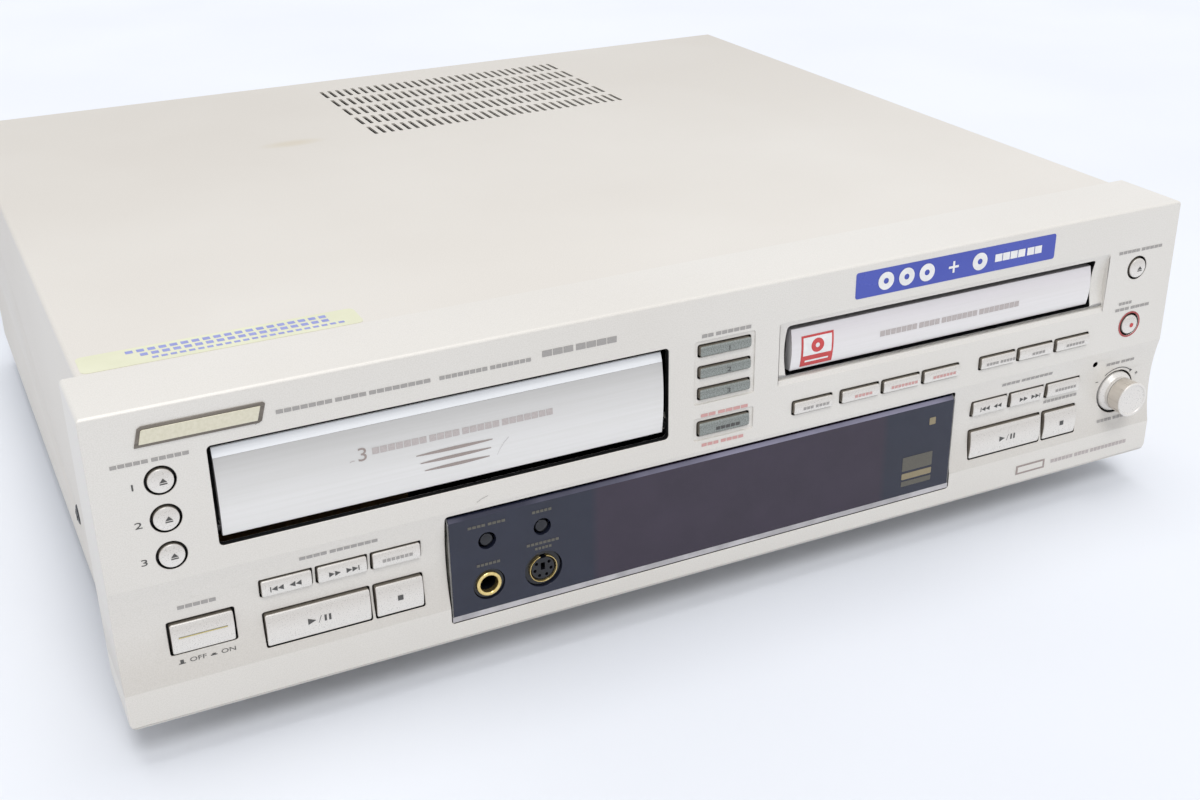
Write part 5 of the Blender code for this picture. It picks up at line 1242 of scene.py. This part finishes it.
name = "power_button"
box = cadBox(name)
for finish, above, tall in ((goldPrint, 0.475, 0.175), (darkPrint, 0.72, 0.06)):
    addBar(name, finish, *around(box["x"], box["up"] + above, 7.7, tall), keyFace(capPlace(name)))

# Words on the panel become rows of soft blocks of the same length and place
for left, right, up, height, finish, surface, letters in (
    (-203.0, -180.0, 92.2, 1.2, greyPrint, face, (5, 5)),
    (-153.0, -103.5, 99.2, 1.3, greyPrint, face, (7, 4, 8)),
    (-100.5, -69.0, 99.2, 1.3, greyPrint, face, (8, 7)),
    (-65.0, -38.0, 100.2, 2.2, greyPrint, face, (3, 4)),
    (-150.8, -124.8, 46.5, 1.2, greyPrint, scoopFace, (4, 7)),
    (-190.0, -178.0, 39.2, 1.3, greyPrint, scoopFace, (5,)),
    (-5.5, 14.0, 94.5, 1.3, greyPrint, face, (2, 6)),
    (-5.5, 13.5, 64.4, 1.2, redPrint, face, (2, 4)),
    (-5.0, 12.0, 52.8, 1.2, redPrint, face, (3, 4)),
    (130.0, 155.0, 46.5, 1.2, greyPrint, scoopFace, (4, 7)),
    (153.5, 170.5, 33.4, 1.2, greyPrint, scoopFace, (9,)),
    (181.0, 203.0, 92.2, 1.2, greyPrint, face, (5, 5)),
    (184.5, 191.0, 70.4, 1.2, greyPrint, face, (4,)),
    (183.0, 200.5, 67.9, 1.2, greyPrint, face, (3, 4)),
    (184.0, 198.5, 43.6, 1.2, greyPrint, scoopFace, (3, 3)),
    (182.5, 200.5, 18.6, 1.2, greyPrint, scoopFace, (4, 5)),
    (159.0, 199.0, 6.6, 1.6, paleText, face, (6, 4, 10)),
):
    addWords(chassis, finish, left, right, up, height, surface, letters)
addText(chassis, "OFF", (-186.0, 20.0), 1.35, scoopFace, 1.55)
addText(chassis, "ON", (-176.3, 20.0), 1.35, scoopFace, 1.55)
for edges in (
    (-191.6, -190.5, 19.6, 20.7), (-192.1, -190.0, 19.3, 19.6),
    (-181.6, -180.5, 19.8, 20.2), (-182.1, -180.0, 19.5, 19.8),
):
    addBar(chassis, darkPrint, *edges, scoopFace)
addBar(chassis, softPrint, 141.0, 155.7, 4.6, 8.6, face)
addBar(chassis, paint, 142.0, 154.7, 5.4, 7.8, -0.02)

# Level marks round the knob: an arc that ends in an arrow, with minus and plus signs
box = cadBox("level_knob")
x, up = box["x"], box["up"]
addRingPrint(chassis, darkPrint, (x, up), 10.4, 10.75, scoopFace, 50.0, 130.0, 20)
addTriangle(chassis, x + 7.2, up + 8.0, 1.4, 1.6, scoopFace)
for across, halfWide, halfTall in ((-10.5, 0.7, 0.15), (10.5, 0.7, 0.15), (10.5, 0.15, 0.7)):
    addBar(chassis, darkPrint, *around(x + across, up + 6.05, halfWide, halfTall), scoopFace)

# Window prints: dim gold bars, the small square and a plain block of bars
glass = window["front"]
for left, right, up, letters in (
    (-94.0, -80.5, 42.6, (4, 4)), (-70.6, -63.4, 42.6, (5,)), (-91.5, -83.0, 27.4, (6,)),
    (-73.0, -61.0, 30.2, (8,)), (-70.0, -63.8, 28.2, (5,)),
):
    addWords(chassis, dimPrint, left, right, up, 1.0, glass, letters)
addBar(chassis, paleGold, 95.3, 98.2, 37.6, 40.6, glass, 0.3)
for low, high, finish in ((13.4, 15.6, dimPrint), (16.4, 19.0, paleGold), (20.0, 26.0, dimPrint)):
    addBar(chassis, finish, 84.0, 98.0, low, high, glass, 0.4)

# Three tapered stripes on the changer door, whose half height follows a sine, and bars for its words
for row, up in enumerate((73.4, 70.4, 67.4)):
    shares = np.linspace(0, 1, 13)
    x = (-109.7 + row * 1.3) * (1 - shares) + (-83.3 - row * 0.6) * shares
    half = 0.6 * np.sin(math.pi * (0.08 + 0.84 * shares))
    outline = np.concatenate([np.stack([x, up - half], 1), np.stack([x, up + half], 1)[::-1]])
    addPrint("changer_door", softPrint, outline, changerFace)
addWords("changer_door", paleText, -124.0, -61.5, 78.6, 2.2, changerFace, (7, 4, 5, 7))
addText("changer_door", "3", (-127.2, 78.2), 4.4, changerFace, 1.2, softPrint)
addWords("recorder_tray", paleText, 70.0, 134.0, 80.0, 2.2, recorderFace, (7, 4, 7, 8))

# Marks of use: thin scratches on the panel and the changer door
for body, finish, width, surface, points in (
    (chassis, greyPrint, 0.16, face, [(-90.3, 51.9), (-88.6, 52.8), (-86.2, 53.5)]),
    (chassis, greyPrint, 0.2, face, [(-159.6, 96.6), (-158.9, 96.9), (-158.4, 97.6)]),
    ("changer_door", greyPrint, 0.16, changerFace,
     [(-81.8, 67.2), (-80.9, 69.0), (-79.4, 71.2), (-77.6, 72.9)]),
    ("changer_door", paleText, 0.2, changerFace, [(-131.5, 76.4), (-130.6, 76.7), (-129.9, 76.6)]),
):
    half = width / 2
    for (x, up), (nextX, nextUp) in zip(points, points[1:]):
        outline = [(x, up - half), (nextX, nextUp - half), (nextX, nextUp + half), (x, up + half)]
        addPrint(body, finish, outline, surface)


# Badge plate and labels, a little thicker than the prints

badge = {
    "plate": [(-195.4, 97.0), (-158.4, 97.0), (-157.4, 97.6), (-155.9, 103.0), (-156.6, 103.6),
              (-192.6, 103.6), (-193.8, 102.9)],
    "inlay": [(-194.0, 98.0), (-158.8, 98.0), (-157.5, 102.6), (-192.4, 102.6), (-192.9, 102.3)],
}
blueTag = {"edges": (57.0, 147.6, 96.2, 106.2), "corner": 1.0, "near": -0.12, "up": 101.2,
           "rings": (70.0, 79.0, 88.0, 112.0), "plus": 100.0, "plusArm": 0.45, "words": (119.0, 141.0)}
squareTag = {"face": (36.0, 49.6, 73.6, 85.6), "field": (36.8, 48.8, 77.8, 84.8),
             "line": (37.8, 47.8, 75.2, 75.9), "ring": (42.8, 81.3)}
yellowTag = {"edges": (-203.0, -113.0, 34.0, 47.6), "corner": 2.2, "rows": (
    (-188.0, -122.0, 44.4, 2.2, 19), (-184.0, -122.0, 40.9, 2.2, 18), (-181.0, -118.0, 37.2, 1.5, 22),
)}


def addLabel(name, finish, ring, near, far, edge=0.05):
    makePiece(name, addPrism(newShape(), ring, "y", near, far), [finish], chassis, None, 30.0, edge)


def onRecorderDoor(over):
    def depth(x, up):
        return recorderFace(x, up) - over
    return depth


def buildLabels():
    addLabel("badge_plate", badgeMetal, badge["plate"], -0.45, -0.01, 0.15)
    addLabel("badge_inlay", badgeFace, badge["inlay"], -0.8, -0.46, 0.12)
    ring = roundedRing(*blueTag["edges"], blueTag["corner"])
    addLabel("blue_label", blueLabel, ring, blueTag["near"], -0.01)
    # White signs on the blue label: three rings, a plus sign, one ring and a short row of blocks
    surface, up, arm = blueTag["near"], blueTag["up"], blueTag["plusArm"]
    for x in blueTag["rings"]:
        addRingPrint(chassis, whiteLabel, (x, up), 1.1, 3.4, surface, 0.0, 360.0, 40)
    plus = [(-1, -5), (1, -5), (1, -1), (5, -1), (5, 1), (1, 1)]
    plus += [(-x, -tall) for x, tall in plus]
    addPrint(chassis, whiteLabel, np.array(plus) * arm + (blueTag["plus"], up), surface)
    addWords(chassis, whiteLabel, *blueTag["words"], up, 3.0, surface, (4, 2))
    # The square label on the recorder door: a red frame, a plain red ring and a red foot
    # It bends with the door's crown, so it is laid in narrow level bands
    bands = ((redLabel, "face", 0.0), (whiteLabel, "field", 0.05), (whiteLabel, "line", 0.05))
    for finish, part, over in bands:
        left, right, low, high = squareTag[part]
        levels = np.linspace(low, high, 13)
        for first, second in zip(levels, levels[1:]):
            addBar("recorder_tray", finish, left, right, first, second, onRecorderDoor(over))
    addRingPrint("recorder_tray", redLabel, squareTag["ring"], 0.9, 2.7, onRecorderDoor(0.1), 0.0, 360.0, 32)
    # The yellow label on the cover has three rows of soft blue marks
    top = cadBox("top_cover")["high"]
    ring = roundedRing(*yellowTag["edges"], yellowTag["corner"])
    makePiece("yellow_label", addPrism(newShape(), ring, "z", top + 0.01, top + 0.11), [yellowLabel], chassis)
    lines = newShape()
    for left, right, behind, deep, count in yellowTag["rows"]:
        width = (right - left) / count
        for index in range(count):
            start = left + index * width
            end = start + width * 0.68
            addBox(lines, (start, behind - deep / 2, top + 0.12), (end, behind + deep / 2, top + 0.15))
    makePiece("yellow_label_marks", lines, [labelBlue], chassis)


def buildPrints():
    # Every print faces the front
    for (body, finishName), shape in prints.items():
        mesh = bpy.data.meshes.new("prints")
        mesh.from_pydata(world(shape["points"]).tolist(), [], shape["faces"])
        mesh.materials.append(bpy.data.materials[finishName])
        work = bmesh.new()
        work.from_mesh(mesh)
        for polygon in work.faces:
            polygon.normal_update()
            if polygon.normal.y > 0:
                polygon.normal_flip()
        work.to_mesh(mesh)
        work.free()
        name = "print_" + body + "_" + finishName.replace(" ", "_").replace("-", "_")
        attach(addToScene(name, mesh), body)


buildLabels()
buildPrints()
print("prints and labels ready")


# Floor, light and camera

stage = {
    "floorHalf": 12.0, "surround": 0.6, "seen": 0.97,
    "suns": (("soft source above", 0.88, 36, (0.0, 0.08, 1.0)),
             ("soft source above and in front", 0.98, 24, (-0.08, -0.7, 1.0))),
}
view = {"azimuth": -25.783, "elevation": 25.359, "roll": -0.882, "lens": 45.81,
        "place": (-0.2454, -0.5975, 0.3132)}


def buildFloor():
    # Pale paper: dull, with the faintest clouds of tone
    size = stage["floorHalf"]
    mesh = bpy.data.meshes.new("floor")
    corners = [(-size, -size, 0), (size, -size, 0), (size, size, 0), (-size, size, 0)]
    mesh.from_pydata(corners, [], [(0, 1, 2, 3)])
    made, tree, shader = newMaterial("pale paper floor", "EBEEF4", 0.8)
    colour = tinted(tree, objectNoise(tree, 4.0, 2.0), ((0.36, "EAEDF3"), (0.64, "EDF0F6")))
    setInputs(tree, shader, {"Specular IOR Level": 0.1, "Base Color": colour})
    mesh.materials.append(made)
    addToScene("floor", mesh)


def buildLight():
    # A white surround for the camera and for reflections, a plainer one as light, and two soft sources above
    scene = bpy.context.scene
    scene.view_settings.view_transform = "Standard"
    studio = bpy.data.worlds.new("studio")
    scene.world = studio
    studio.use_nodes = True
    tree = studio.node_tree
    light = tree.nodes["Background"]
    setInputs(tree, light, {"Color": "F9FAFD", "Strength": stage["surround"]})
    seen = addNode(tree, "ShaderNodeBackground", {"Color": "F4F7FE", "Strength": stage["seen"]})[0]
    path = addNode(tree, "ShaderNodeLightPath")
    seeing = path["Is Camera Ray"]
    for ray in ("Is Glossy Ray", "Is Transmission Ray"):
        seeing = addNode(tree, "ShaderNodeMath", {0: seeing, 1: path[ray]}, operation="MAXIMUM")[0]
    mixed = addNode(tree, "ShaderNodeMixShader", {"Fac": seeing, 1: light.outputs[0], 2: seen})[0]
    setInputs(tree, tree.nodes["World Output"], {"Surface": mixed})
    for name, power, spread, direction in stage["suns"]:
        lamp = bpy.data.lights.new(name, "SUN")
        lamp.energy = power
        lamp.angle = math.radians(spread)
        holder = addToScene(name, lamp)
        holder.rotation_mode = "QUATERNION"
        holder.rotation_quaternion = Vector(direction).to_track_quat("Z", "Y")


def buildCamera():
    # The place, direction and lens come from a fit of the photograph's straight edges
    azimuth, elevation, roll = (math.radians(view[key]) for key in ("azimuth", "elevation", "roll"))
    back = Vector((math.sin(azimuth) * math.cos(elevation), -math.cos(azimuth) * math.cos(elevation),
                   math.sin(elevation)))
    right = Vector((math.cos(azimuth), math.sin(azimuth), 0))
    upward = back.cross(right)
    rolledRight = math.cos(roll) * right + math.sin(roll) * upward
    rolledUp = -math.sin(roll) * right + math.cos(roll) * upward
    lens = bpy.data.cameras.new("camera")
    lens.lens = view["lens"]
    lens.sensor_width = 36.0
    lens.clip_start = 0.02
    lens.clip_end = 30.0
    camera = addToScene("camera", lens)
    turn = Matrix((rolledRight, rolledUp, back)).transposed()
    camera.matrix_world = Matrix.Translation(view["place"]) @ turn.to_4x4()
    bpy.context.scene.camera = camera


buildFloor()
buildLight()
buildCamera()
print("stage ready")
